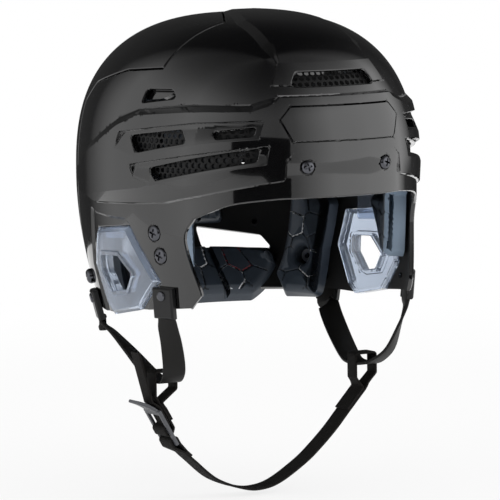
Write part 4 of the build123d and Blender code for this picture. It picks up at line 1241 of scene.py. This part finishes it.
rear_centre_pad_shares = [(0.31, 0.24), (0.46, 0.04), (0.46, -0.50)]
CROWN_PAD_WIDTH_SHARE = 0.42
REAR_SIDE_INNER_SHARE = 0.62
LOW_BACK_START_SHARE = 0.545
GROOVE_SHARE = 0.285
BOSS_RADIUS = 6.6

front_pad_line = front_outline(front_pad_shares, 4.0)
temple_line = side_outline(temple_pad_shares, 4.0)
side_pad_line = side_outline(side_pad_shares, 5.0)
crown_line = side_outline(crown_pad_shares)
rear_side_line = side_outline(rear_side_pad_shares, 4.0)
occipital_line = outline([0, 2], from_front(occipital_pad_shares), 5.0, (1, 1))
rear_centre_line = outline([0, 2], from_front(rear_centre_pad_shares), 5.0, (1, 1))
boss_line = round_outline(lock_place - lock_way * 12, lock_way, BOSS_RADIUS)
tongue_liner = tuple(size - LINER_SKIN for size in TONGUE_SIZE[:4]) + (TONGUE_SIZE[4],)


def temple_pad_line(points, normals):
    """Distance inside a temple pad, which stops short of the front pad."""
    return np.minimum(temple_line(points, normals), -front_pad_line(points, normals) - PAD_GAP)


def crown_pad_line(points, normals):
    """Distance inside the crown pad."""
    width = CROWN_PAD_WIDTH_SHARE * HALF_WIDTH - np.abs(points[:, 0])
    return np.where(points[:, 2] > 0, np.minimum(crown_line(points, normals), width), -FAR)


def rear_side_pad_line(points, normals):
    """Distance inside a rear side pad, round the size lock's boss."""
    inner = np.abs(points[:, 0]) - REAR_SIDE_INNER_SHARE * HALF_WIDTH
    return np.minimum(np.minimum(rear_side_line(points, normals), inner), -boss_line(points, normals))


def low_back_line(points, normals):
    """Distance inside the low pad at the back, clear of the rear shell's thick edge."""
    return np.minimum(occipital_line(points, normals), points[:, 1] - LOW_BACK_START_SHARE * REAR_REACH)


def lobe_groove(points, normals):
    """Distance inside the two grooves that part the rear pads into lobes."""
    return FOAM_GROOVE_WIDTH / 2 - np.abs(np.abs(points[:, 0]) - GROOVE_SHARE * HALF_WIDTH)


whole_pads = (
    ("front_foam", "shell", "front_pad", front_pad_line, 13.0, ((-4, -130, -10), (70, -60, 60)),
     foam_cells([0, 2], (-70, -10), (70, 60), 3), {"back": 2.0}),
    ("crown_foam", "rear", "crown_pad", crown_pad_line, 12.0, ((-4, -60, 60), (50, 60, 112)),
     foam_cells([0, 1], (-50, -60), (50, 60), 5), {"size": tongue_liner}),
    ("low_back_foam", "rear", "occipital_pad", low_back_line, 15.0, ((-4, 40, -100), (80, 142, -60)),
     foam_cells([0, 2], (-80, -100), (80, -60), 7),
     {"groove": lobe_groove, "painted": (((18, -80), PALE), ((34, -84), PALE), ((52, -82), RED))}),
    ("rear_centre_foam", "rear", "rear_centre_pad", rear_centre_line, 15.0, ((-4, 60, -55), (55, 142, 35)),
     foam_cells([0, 2], (-55, -55), (55, 35), 9), {"groove": lobe_groove, "painted": (((-12, -20), PALE),)}),
)
for name, body, replaced, line, depth, box, cells, options in whole_pads:
    foam = mesh_piece(name, *pad(line, depth, box, cells, True, **options))
    finish_piece(foam, laminated_foam, body, "foam", replaced)

side_pads = (
    # The temple pads carry the pale blue-grey painted highlight on their front edges and lower walls.
    ("temple_foam", "shell", "temple_pad", temple_pad_line, 17.0, ((30, -120, -62), (105, -15, 40)),
     foam_cells([1, 2], (-120, -62), (-20, 40), 11),
     {"back": 2.0, "edge": PAINTED_LIT_EDGE, "painted": (((-60, 5), PALE),)}),
    ("side_foam", "shell", "side_pad", side_pad_line, 12.0, ((60, -50, -20), (105, 50, 52)),
     foam_cells([1, 2], (-50, -20), (50, 52), 13), {"back": 2.0, "painted": (((0, 15), PALE),)}),
    ("rear_side_foam", "rear", "rear_side_pad", rear_side_pad_line, 15.0, ((50, 20, -100), (105, 90, 30)),
     foam_cells([1, 2], (20, -100), (90, 30), 15),
     {"size": tongue_liner, "painted": (((50, -78), PALE), ((58, -38), PALE))}),
)
for name, body, replaced, line, depth, box, cells, options in side_pads:
    *left_pad, marks = pad(line, depth, box, cells, False, **options)
    for side, shape in (("left", left_pad), ("right", mirror_image(*left_pad))):
        foam = mesh_piece(f"{name}_{side}", *shape, marks)
        finish_piece(foam, laminated_foam, body, "foam", f"{replaced}_{side}")

# Strap clips and rivets
# Black nylon clips, bevelled, riveted through the shell over the ends of the yoke straps, with
# domed steel rivets. Two more rivets close the back of the rear shell.
CLIP_WIDTH = 18.0
CLIP_LENGTH = 21.0
CLIP_THICKNESS = 4.6
CLIP_FACE = 2.0
CLIP_BEVEL = 1.2
CLIP_POCKET = 11.0
CLIP_LIP = 2.2
CLIP_LIP_BEVEL = 1.6
CLIP_ROUNDING = 0.5
CLIP_RIVET_RISE = 5.2
YOKE_WIDTH = 14.0
YOKE_THICKNESS = 2.0
RIVET_RADIUS = 3.4
RIVET_HEIGHT = 1.5
RIVET_SHANK = 1.8

clip_shares = [(-0.388, -0.85), (0.317, -0.955)]
clip_places = [place_on_dome((0, *place), (1, 0, 0)) for place in from_side(clip_shares)]
rear_rivet_place = place_on_dome((0, *from_side([(0.725, -0.50)])[0]), (1, 0, 0))


def axes_at(place, way):
    """Point and axes on the shell: along it, up it and out of it."""
    along = unit(np.cross([0, 0, 1], way))
    return place, np.array([along, np.cross(way, along), way])


def blocks(xs, ys, zs, filled):
    """Closed surface of the filled cells of a grid, as points and quads that face outwards."""
    counts = (len(xs) - 1, len(ys) - 1, len(zs) - 1)
    steps = [
        ((1, 0, 0), [(1, 0, 0), (1, 1, 0), (1, 1, 1), (1, 0, 1)]),
        ((-1, 0, 0), [(0, 0, 0), (0, 0, 1), (0, 1, 1), (0, 1, 0)]),
        ((0, 1, 0), [(0, 1, 0), (0, 1, 1), (1, 1, 1), (1, 1, 0)]),
        ((0, -1, 0), [(0, 0, 0), (1, 0, 0), (1, 0, 1), (0, 0, 1)]),
        ((0, 0, 1), [(0, 0, 1), (1, 0, 1), (1, 1, 1), (0, 1, 1)]),
        ((0, 0, -1), [(0, 0, 0), (0, 1, 0), (1, 1, 0), (1, 0, 0)]),
    ]
    quads = []
    for cell in np.ndindex(*counts):
        if not filled(*cell):
            continue
        for way, corners in steps:
            beside = np.array(cell) + way
            outside = (beside < 0).any() or (beside >= counts).any()
            if outside or not filled(*beside):
                quads.append([tuple(np.array(cell) + corner) for corner in corners])
    numbers = {corner: index for index, corner in enumerate(sorted({c for quad in quads for c in quad}))}
    points = np.array([(xs[i], ys[j], zs[k]) for i, j, k in numbers], float)
    return points, np.array([[numbers[corner] for corner in quad] for quad in quads])


def bevelled(piece, width):
    """Rounds the edges of a piece."""
    modifier = piece.modifiers.new("edges", "BEVEL")
    modifier.width = width * MM
    modifier.segments = 3
    modifier.limit_method = "ANGLE"
    modifier.angle_limit = radians(30)
    modifier.harden_normals = True


xs = [-CLIP_WIDTH / 2, -YOKE_WIDTH / 2 - PIECE_GAP, YOKE_WIDTH / 2 + PIECE_GAP, CLIP_WIDTH / 2]
ys = [-CLIP_LENGTH / 2, -CLIP_LENGTH / 2 + CLIP_LIP, -CLIP_LENGTH / 2 + CLIP_POCKET, CLIP_LENGTH / 2]
zs = [0.0, CLIP_THICKNESS - CLIP_FACE, CLIP_THICKNESS - CLIP_BEVEL, CLIP_THICKNESS]
clip_points, clip_faces = blocks(xs, ys, zs, lambda i, j, k: not (k == 0 and j < 2 and i == 1))
top = clip_points[:, 2] == CLIP_THICKNESS
for axis, reach in ((0, CLIP_WIDTH / 2), (1, CLIP_LENGTH / 2)):
    outer = top & (np.abs(clip_points[:, axis]) == reach)
    clip_points[outer, axis] -= np.sign(clip_points[outer, axis]) * CLIP_BEVEL
low_top = top & (np.abs(clip_points[:, 1] - ys[1]) < 0.1)
clip_points[low_top, 1] += CLIP_LIP_BEVEL

clip_plastic, tree, shader = material("moulded_black_nylon", "#121213", 0.32, IOR=1.53,
                                      Specular_IOR_Level=0.35)
wear(tree, shader, 0.5, 0.015, 0.26, 0.42)
for name, (place, way), replaced in (
    ("front_clips", clip_places[0], "front_strap_clips"),
    ("rear_clips", clip_places[1], "rear_strap_clips"),
):
    centre, axes = axes_at(place, way)
    left = centre + clip_points @ axes
    points = np.vstack([left, left * [-1, 1, 1]])
    clips = mesh_piece(name, points, [clip_faces, clip_faces[:, ::-1] + len(left)])
    bevelled(clips, CLIP_ROUNDING)
    finish_piece(clips, clip_plastic, "shell", "clip_plastic", replaced)

rivet_tree = head_tree("domed_rivet", False)
strap_rivets = []
for place, way in clip_places:
    centre, axes = axes_at(place, way)
    strap_rivets.append((centre + axes[2] * CLIP_THICKNESS + axes[1] * CLIP_RIVET_RISE, way))
for name, places, length, body, replaced in (
    ("strap_rivet_heads", strap_rivets, 9.0, "shell", "strap_rivets"),
    ("rear_rivet_heads", [rear_rivet_place], 4.6, "rear", "rear_rivets"),
):
    spots, aims = both_sides(places)
    rivets = grown(name, rivet_tree, black_zinc, spots, aims, Head_Radius=RIVET_RADIUS,
                   Head_Height=RIVET_HEIGHT, Shank_Radius=RIVET_SHANK, Shank_Length=length)
    finish_piece(rivets, black_zinc, body, "screw_metal", replaced)

# Yoke straps
# One smooth strap of black thermoplastic rubber a side, from the front clip down round the chin
# webbing's loop and up to the rear clip.
YOKE_DROP = 133.5
YOKE_EDGE = 0.6
SHARP_ANGLE = 40
yoke_shares = [
    ((0.900, -0.390, -0.700), (0.47, 0.88)),
    ((0.866, -0.375, -0.790), (0.64, 0.77)),
    ((0.824, -0.338, -0.910), (0.85, 0.53)),
    ((0.786, -0.265, -0.976), (0.97, 0.24)),
    ((0.762, -0.190, -1.000), (1, 0)),
    ((0.762, -0.070, -1.000), (1, 0)),
    ((0.771, 0.000, -0.970), (0.97, -0.24)),
    ((0.800, 0.120, -0.880), (0.83, -0.56)),
    ((0.836, 0.230, -0.795), (0.60, -0.80)),
    ((0.868, 0.298, -0.745), (0.46, -0.89)),
]


def ribbon(centres, across, widths, thickness, edge):
    """Flat strap along a path: points, faces, and the place of each corner along and across it."""
    centres, across = np.array(centres, float), np.array(across, float)
    along = unit(np.gradient(centres, axis=0))
    across = unit(across - along * (across * along).sum(1, keepdims=True))
    out = np.cross(along, across)
    half = thickness / 2
    profile = []
    for turn, (side, face) in enumerate(((1, -1), (1, 1), (-1, 1), (-1, -1))):
        for step in range(3):
            angle = (turn - 1) * pi / 2 + step * pi / 4
            profile.append((side, face * (half - edge) + edge * sin(angle), edge * cos(angle) - edge))
    ring = []
    for side, up, back in profile:
        ring.append(centres + across * (side * widths / 2 + back)[:, None] + out * up)
    ring = np.array(ring).transpose(1, 0, 2)
    count, sides = ring.shape[:2]
    lengths = np.concatenate([[0], np.cumsum(np.linalg.norm(np.diff(centres, axis=0), axis=1))])
    quads, places = [], []
    for row in range(count - 1):
        for k in range(sides):
            following = (k + 1) % sides
            here, onward = row * sides, (row + 1) * sides
            quad = (here + k, here + following, onward + following, onward + k)
            quads.append(quad)
            for corner in quad:
                point = ring.reshape(-1, 3)[corner]
                place = (point - centres[corner // sides]) @ across[corner // sides]
                places.append((place, lengths[corner // sides]))
    points = ring.reshape(-1, 3)
    caps = [tuple(range(sides))[::-1], tuple(range((count - 1) * sides, count * sides))]
    return points, quads, caps, places


def turn_outwards(mesh):
    """Turns the faces of a mesh so that their normals point out."""
    checked = bmesh.new()
    checked.from_mesh(mesh)
    bmesh.ops.recalc_face_normals(checked, faces=checked.faces)
    checked.to_mesh(mesh)
    checked.free()


def strap_piece(name, strip):
    """Object made of a ribbon, with a map of real lengths in metres along and across the strap."""
    mesh = bpy.data.meshes.new(name)
    points, quads, caps, places = strip
    places = places + [(0.0, 0.0)] * sum(len(cap) for cap in caps)
    mesh.from_pydata([tuple(point * MM) for point in points], [], quads + caps)
    layer = mesh.uv_layers.new(name="cloth")
    layer.data.foreach_set("uv", (np.array(places) * MM).ravel())
    turn_outwards(mesh)
    mesh.shade_smooth()
    mesh.set_sharp_from_angle(angle=radians(SHARP_ANGLE))
    return new_object(name, mesh)


ends = []
for (place, way), turn in zip(clip_places, (1, -1)):
    centre, axes = axes_at(place, way)
    start = centre + axes[2] * (PIECE_GAP + YOKE_THICKNESS / 2)
    ends.append([(*(start - axes[1] * run), *(axes[0] * turn)) for run in (0, CLIP_LENGTH / 2 + PIECE_GAP)])
middle = []
for (x, y, z), (across_x, across_y) in yoke_shares:
    middle.append((x * HALF_WIDTH, depth_at(y), z * YOKE_DROP, across_x, across_y, 0))
stations = np.array(rounded_path(ends[0] + middle + ends[1][::-1], 7))
rubber, tree, shader = material("black_thermoplastic_rubber", "#161514", 0.5, IOR=1.5,
                                Specular_IOR_Level=0.25)
wear(tree, shader, 0.4, 0.03, 0.42, 0.6)
for side, flip in (("left", 1), ("right", -1)):
    centres, across = stations[:, :3] * [flip, 1, 1], stations[:, 3:] * [flip, 1, 1]
    widths = np.full(len(stations), YOKE_WIDTH)
    yoke = strap_piece(f"yoke_{side}", ribbon(centres, across, widths, YOKE_THICKNESS, YOKE_EDGE))
    finish_piece(yoke, rubber, "shell", "yoke_webbing", f"yoke_strap_{side}")

# Chin webbing
# Woven black polyester webbing. The chin strap is folded round the left yoke and sewn back on
# itself, and the adjuster strap loops round the right yoke and threads through the buckle.
YOKE_HALF_SPAN = 80.0
YOKE_BACK = 17.0
WEBBING_WIDTH = 15.0
WEBBING_THICKNESS = 1.6
WEBBING_EDGE = 0.55
RIB_PITCH = 1.3
YARN_PITCH = 1.0
LOOP_WIDTH = 10.0
LOOP_RISE = 6.7
LOOP_CUT_DROP = 146.5
LOOP_TAPER = 5.0
FOLD_RADIUS = 1.7
CHIN_DROP = 215.0
BUCKLE_LENGTH = 28.0
BUCKLE_WIDTH = 21.0
BUCKLE_THICKNESS = 2.4
BUCKLE_BASE_SHARES = (-0.705, -0.823)
BUCKLE_WAY = np.array([-0.504, 0.864])
BUCKLE_OUT = np.array([-0.864, -0.504])
loop_wall = YOKE_WIDTH / 2 + PIECE_GAP + WEBBING_THICKNESS / 2
loop_top = LOOP_RISE - YOKE_DROP
chin_shares = [(0.6095, -0.771), (0.502, -0.827), (0.381, -0.8805), (0.270, -0.922), (0.086, -0.9735)]
chin_shares += [(-0.048, -0.9915), (-0.190, -0.987), (-0.401, -0.948), (-0.567, -0.882), (-0.633, -0.8535)]
bottom_bar_shares = [(-0.036, 1.125), (0.175, 1.125), (0.175, -1.125), (-0.036, -1.125)]
adjuster_run_shares = [(1.10, -1.875), (0.40, -1.875), (0.307, -0.79), (0.307, 1.125), (0.529, 1.125)]
adjuster_run_shares += [(0.529, -1.042), (1.054, -1.042), (1.214, -0.167)]


def webbing_points(shares):
    """Points in the webbing's upright plane, from shares of the half width and the chin's drop."""
    return [np.array((x * HALF_WIDTH, z * CHIN_DROP)) for x, z in shares]


def buckle_points(shares):
    """Points in the webbing's plane along and off the buckle."""
    base = webbing_points([BUCKLE_BASE_SHARES])[0]
    return [base + BUCKLE_WAY * (a * BUCKLE_LENGTH) + BUCKLE_OUT * (b * BUCKLE_THICKNESS) for a, b in shares]


def folded(points, radius, spacing=2.5, steps=5):
    """Path along points whose corners are folded round a radius, with even steps between them."""
    path = [points[0]]
    for before, corner, after in zip(points, points[1:], points[2:]):
        inward, onward = unit(corner - before), unit(after - corner)
        turn = np.arccos(np.clip(inward @ onward, -1, 1))
        cut = radius * np.tan(turn / 2)
        if turn > 0.02:
            start, bend = corner - inward * cut, unit(onward - inward * (inward @ onward))
            for step in range(steps + 1):
                angle = turn * step / steps
                path.append(start + inward * radius * np.sin(angle) + bend * radius * (1 - np.cos(angle)))
    path.append(points[-1])
    even = [path[0]]
    for start, end in zip(path, path[1:]):
        pieces = max(1, int(np.linalg.norm(end - start) / spacing))
        even += [start + (end - start) * k / pieces for k in range(1, pieces + 1)]
    return even


def webbing_strip(path):
    """Ribbon of webbing on an edge-on path, narrowed where it passes round a yoke strap."""
    path = np.array(path)
    keep = np.r_[True, np.linalg.norm(np.diff(path, axis=0), axis=1) > 0.05]
    path = path[keep]
    centres = np.c_[path[:, 0], np.full(len(path), -YOKE_BACK), path[:, 1]]
    narrow = eased(path[:, 1], -LOOP_CUT_DROP - LOOP_TAPER, -LOOP_CUT_DROP + 0.2)
    widths = WEBBING_WIDTH - (WEBBING_WIDTH - LOOP_WIDTH) * narrow
    return ribbon(centres, np.tile([0.0, 1.0, 0.0], (len(path), 1)), widths, WEBBING_THICKNESS, WEBBING_EDGE)


left_wall = np.array((YOKE_HALF_SPAN - loop_wall, -0.667 * CHIN_DROP))
right_wall = np.array((YOKE_HALF_SPAN + loop_wall, -0.656 * CHIN_DROP))
loop = webbing_points([(0.598, -0.766), (0.727, -0.699)])
loop += [left_wall, np.array((left_wall[0], loop_top)), np.array((right_wall[0], loop_top)), right_wall]
loop += webbing_points([(0.738, -0.7045)]) + webbing_points([chin_shares[0]])
chin = [np.array(point) for point in rounded_path(webbing_points(chin_shares), 7)]
bar = buckle_points(bottom_bar_shares) + webbing_points([(-0.6252, -0.8489), (-0.5929, -0.8626)])
chin_path = folded(loop, FOLD_RADIUS) + chin[1:-1] + folded([chin[-1]] + bar, FOLD_RADIUS)

adjuster = buckle_points([(0.60, -2.54), (1.07, -2.54)])
inner_wall_x, outer_wall_x = loop_wall - YOKE_HALF_SPAN, -loop_wall - YOKE_HALF_SPAN
adjuster += [np.array((inner_wall_x, -0.647 * CHIN_DROP)), np.array((inner_wall_x, loop_top))]
adjuster += [np.array((outer_wall_x, loop_top)), np.array((outer_wall_x, -0.667 * CHIN_DROP))]
adjuster += buckle_points(adjuster_run_shares) + webbing_points([(-0.958, -0.5235)])

polyester, tree, shader = material("black_polyester_webbing", "#1A1817", 0.7, IOR=1.5,
                                   Specular_IOR_Level=0.2)
cloth = node(tree, "ShaderNodeUVMap", settings={"uv_map": "cloth"}).outputs[0]
rib = node(tree, "ShaderNodeTexWave", {"Vector": cloth}, {"bands_direction": "Y"},
           Scale=0.5 / (RIB_PITCH * MM), Distortion=0.4)
yarn = node(tree, "ShaderNodeTexWave", {"Vector": cloth}, {"bands_direction": "X"},
            Scale=0.5 / (YARN_PITCH * MM), Distortion=0.6)
weave = maths(tree, "ADD", rib.outputs["Fac"], yarn.outputs["Fac"])
bump = node(tree, "ShaderNodeBump", {"Height": weave}, Distance=0.25 * MM, Strength=0.9)
tree.links.new(bump.outputs["Normal"], shader.inputs["Normal"])
lighter = node(tree, "ShaderNodeMapRange", {"Value": weave}, From_Max=2.0, To_Min=0.55, To_Max=1.5)
tone = node(tree, "ShaderNodeVectorMath", {"Scale": lighter.outputs["Result"]}, {"operation": "SCALE"})
tone.inputs[0].default_value = linear("#1A1817")[:3]
tree.links.new(tone.outputs[0], shader.inputs["Base Color"])

for name, path, replaced in (
    ("chin_webbing", chin_path, "chin_strap"),
    ("adjuster_webbing", folded(adjuster, FOLD_RADIUS), "adjuster_strap"),
):
    finish_piece(strap_piece(name, webbing_strip(path)), polyester, "chin", "chin_webbing", replaced)

# Buckle
# A grey acetal ladder buckle with two slots and a bent thumb tab, moulded in one piece.
TAB_WIDTH = 14.0
TAB_THICKNESS_SHARE = 0.92
TAB_EDGE = 0.7
TAB_BOW = 0.9
TAB_TAPER = 0.12
BUCKLE_ROUNDING = 0.6
SLOT_SHARES = [(0.12, 0.357), (0.479, 0.879)]
slot_half = WEBBING_WIDTH / 2 + PIECE_GAP
xs = [0.0] + [share * BUCKLE_LENGTH for pair in SLOT_SHARES for share in pair] + [BUCKLE_LENGTH]
ys = [-BUCKLE_WIDTH / 2, -slot_half, slot_half, BUCKLE_WIDTH / 2]
zs = [-BUCKLE_THICKNESS / 2, BUCKLE_THICKNESS / 2]
points, faces = blocks(xs, ys, zs, lambda i, j, k: not (j == 1 and i in (1, 3)))
base = webbing_points([BUCKLE_BASE_SHARES])[0]
buckle_axes = np.array([(BUCKLE_WAY[0], 0, BUCKLE_WAY[1]), (0, 1, 0), (BUCKLE_OUT[0], 0, BUCKLE_OUT[1])])
centre = np.array([base[0], -YOKE_BACK, base[1]])
frame_places = centre + points @ buckle_axes
acetal, tree, shader = material("grey_acetal", "#55565A", 0.38, IOR=1.48)
wear(tree, shader, 0.6, 0.02, 0.32, 0.48)
tab_start, tab_end = buckle_points([(0.97, 0.0), (1.47, 3.83)])
run = np.linspace(0, 1, 14)[:, None]
lift = np.sin(run * pi) * -TAB_BOW
tab_path = tab_start + (tab_end - tab_start) * run + BUCKLE_OUT * lift
tab_centres = np.c_[tab_path[:, 0], np.full(len(run), -YOKE_BACK), tab_path[:, 1]]
tab_widths = TAB_WIDTH * (1 - TAB_TAPER * run[:, 0] ** 4)
tab_across = np.tile([0.0, 1.0, 0.0], (len(run), 1))
tab = ribbon(tab_centres, tab_across, tab_widths, BUCKLE_THICKNESS * TAB_THICKNESS_SHARE, TAB_EDGE)
mesh = bpy.data.meshes.new("ladder_buckle")
all_points = [tuple(point * MM) for point in np.vstack([frame_places, tab[0]])]
shift = len(frame_places)
all_faces = [tuple(face) for face in faces] + [tuple(k + shift for k in face) for face in tab[1] + tab[2]]
mesh.from_pydata(all_points, [], all_faces)
turn_outwards(mesh)
mesh.shade_smooth()
buckle = new_object("ladder_buckle", mesh)
bevelled(buckle, BUCKLE_ROUNDING)
finish_piece(buckle, acetal, "chin", "buckle_plastic", "buckle")

# Floor, backdrop and light
# A pale studio: a matt white table that keeps the shadow and fades into the white backdrop, a
# surround of white sheets and broad soft lamps.
FLOOR_DROP = 0.2175
FLOOR_REACH = 1.2
FLOOR_CLEAR = (0.55, 1.15)
floor_mesh = bpy.data.meshes.new("floor")
corners = [(x * FLOOR_REACH, y * FLOOR_REACH, -FLOOR_DROP) for x, y in ((-1, -1), (1, -1), (1, 1), (-1, 1))]
floor_mesh.from_pydata(corners, [], [(0, 1, 2, 3)])
floor = new_object("floor", floor_mesh)
floor_finish, tree, shader = material("matt_white_floor", "#F7F7F7", 0.9, Specular_IOR_Level=0.1)
path = node(tree, "ShaderNodeLightPath").outputs
glow = node(tree, "ShaderNodeEmission", Strength=1.0)
places = node(tree, "ShaderNodeTexCoord").outputs["Object"]
away = node(tree, "ShaderNodeVectorMath", {0: places}, {"operation": "LENGTH"})
links = {"Value": away.outputs["Value"]}
fade = node(tree, "ShaderNodeMapRange", links, {"interpolation_type": "SMOOTHSTEP"},
            From_Min=FLOOR_CLEAR[0], From_Max=FLOOR_CLEAR[1], To_Min=0.8, To_Max=1.0)
share = maths(tree, "MULTIPLY", path["Is Camera Ray"], fade.outputs["Result"])
both = node(tree, "ShaderNodeMixShader", {0: share, 1: shader.outputs[0], 2: glow.outputs[0]})
tree.links.new(both.outputs[0], tree.nodes["Material Output"].inputs["Surface"])
floor_mesh.materials.append(floor_finish)

# The flag: a black card beside the photographer that keeps part of the shell dark.
FLAG_WIDTH = 1.15
FLAG_TOP = 0.35
FLAG_DISTANCE = 1.4
FLAG_AZIMUTH = VIEW_AZIMUTH * 1.25
flag_mesh = bpy.data.meshes.new("flag")
flag_way = Vector((sin(FLAG_AZIMUTH), -cos(FLAG_AZIMUTH), 0))
flag_side = Vector((-flag_way.y, flag_way.x, 0)) * FLAG_WIDTH / 2
flag_base = flag_way * FLAG_DISTANCE - Vector((0, 0, FLOOR_DROP))
flag_rise = Vector((0, 0, FLAG_TOP + FLOOR_DROP))
flag_places = [flag_base - flag_side, flag_base + flag_side, flag_base + flag_side + flag_rise]
flag_mesh.from_pydata(flag_places + [flag_base - flag_side + flag_rise], [], [(0, 1, 2, 3)])
flag = new_object("flag", flag_mesh)
flag_finish, tree, shader = material("black_flag_cloth", "#0B0B0B", 0.9)
flag_mesh.materials.append(flag_finish)
flag.visible_camera = False

# The surround that the lacquer mirrors: white sheets beside and in front, a dark room behind and
# a ceiling that falls off to dark. One ramp runs round the horizon, from the front by the
# wearer's right, and the other from the horizon up.
SURROUND_BRIGHTNESS = 1.5
SOFT_BRIGHTNESS = 0.8
horizon_stops = ((0.0, 0.55), (0.03, 0.34), (0.07, 0.24), (0.12, 0.28), (0.17, 0.42), (0.22, 0.62))
horizon_stops += ((0.27, 0.76), (0.32, 0.6), (0.38, 0.46), (0.42, 0.36), (0.45, 0.15), (0.475, 0.03))
horizon_stops += ((0.56, 0.02), (0.66, 0.02), (0.705, 0.05), (0.73, 0.35), (0.76, 0.8), (0.86, 1.0))
horizon_stops += ((0.94, 0.95), (1.0, 0.55))
rise_stops = ((0.0, 1.0), (0.45, 1.0), (0.56, 0.78), (0.64, 0.6), (0.71, 0.44), (0.77, 0.33))
rise_stops += ((0.85, 0.23), (0.92, 0.16), (0.97, 0.12), (1.0, 0.1))
world = bpy.data.worlds.new("studio")
scene.world = world
world.use_nodes = True
tree = world.node_tree
path = node(tree, "ShaderNodeLightPath").outputs
way = node(tree, "ShaderNodeTexCoord").outputs["Generated"]
parts = node(tree, "ShaderNodeSeparateXYZ", {"Vector": way}).outputs
angle = maths(tree, "ARCTAN2", parts["X"], parts["Y"])
turn = node(tree, "ShaderNodeMapRange", {"Value": angle}, From_Min=-pi, From_Max=pi)
ramps = []
for source, stops in ((turn.outputs["Result"], horizon_stops), (parts["Z"], rise_stops)):
    fall = node(tree, "ShaderNodeValToRGB", {"Fac": source})
    fall.color_ramp.elements[0].position, fall.color_ramp.elements[1].position = stops[0][0], stops[-1][0]
    for place, _ in stops[1:-1]:
        fall.color_ramp.elements.new(place)
    for stop, (place, bright) in zip(fall.color_ramp.elements, stops):
        stop.color = (bright, bright, bright, 1)
    ramps.append(fall.outputs["Color"])
shade = maths(tree, "MULTIPLY", maths(tree, "MULTIPLY", *ramps), SURROUND_BRIGHTNESS)
seen = maths(tree, "MAXIMUM", path["Is Camera Ray"], path["Is Transmission Ray"])
rest = maths(tree, "SUBTRACT", 1.0, path["Is Glossy Ray"])
soft = maths(tree, "MULTIPLY", rest, SOFT_BRIGHTNESS)
glossy = maths(tree, "MULTIPLY", path["Is Glossy Ray"], shade)
strength = maths(tree, "MAXIMUM", seen, maths(tree, "ADD", soft, glossy))
background = tree.nodes["Background"]
background.inputs["Color"].default_value = (1, 1, 1, 1)
tree.links.new(strength, background.inputs["Strength"])

for name, azimuth, distance, height, size, power in (
    ("softbox_right", 42, 2.2, 1.15, (2.9, 2.6), 22),
    ("softbox_left", -95, 2.0, 0.9, (1.8, 1.4), 8),
):
    lamp_data = bpy.data.lights.new(name, "AREA")
    lamp_data.shape = "RECTANGLE"
    lamp_data.size, lamp_data.size_y = size
    lamp_data.energy = power
    lamp = new_object(name, lamp_data)
    lamp.location = (distance * sin(radians(azimuth)), -distance * cos(radians(azimuth)), height)
    lamp.rotation_euler = (-lamp.location).to_track_quat("-Z", "Y").to_euler()
    lamp.visible_glossy = False
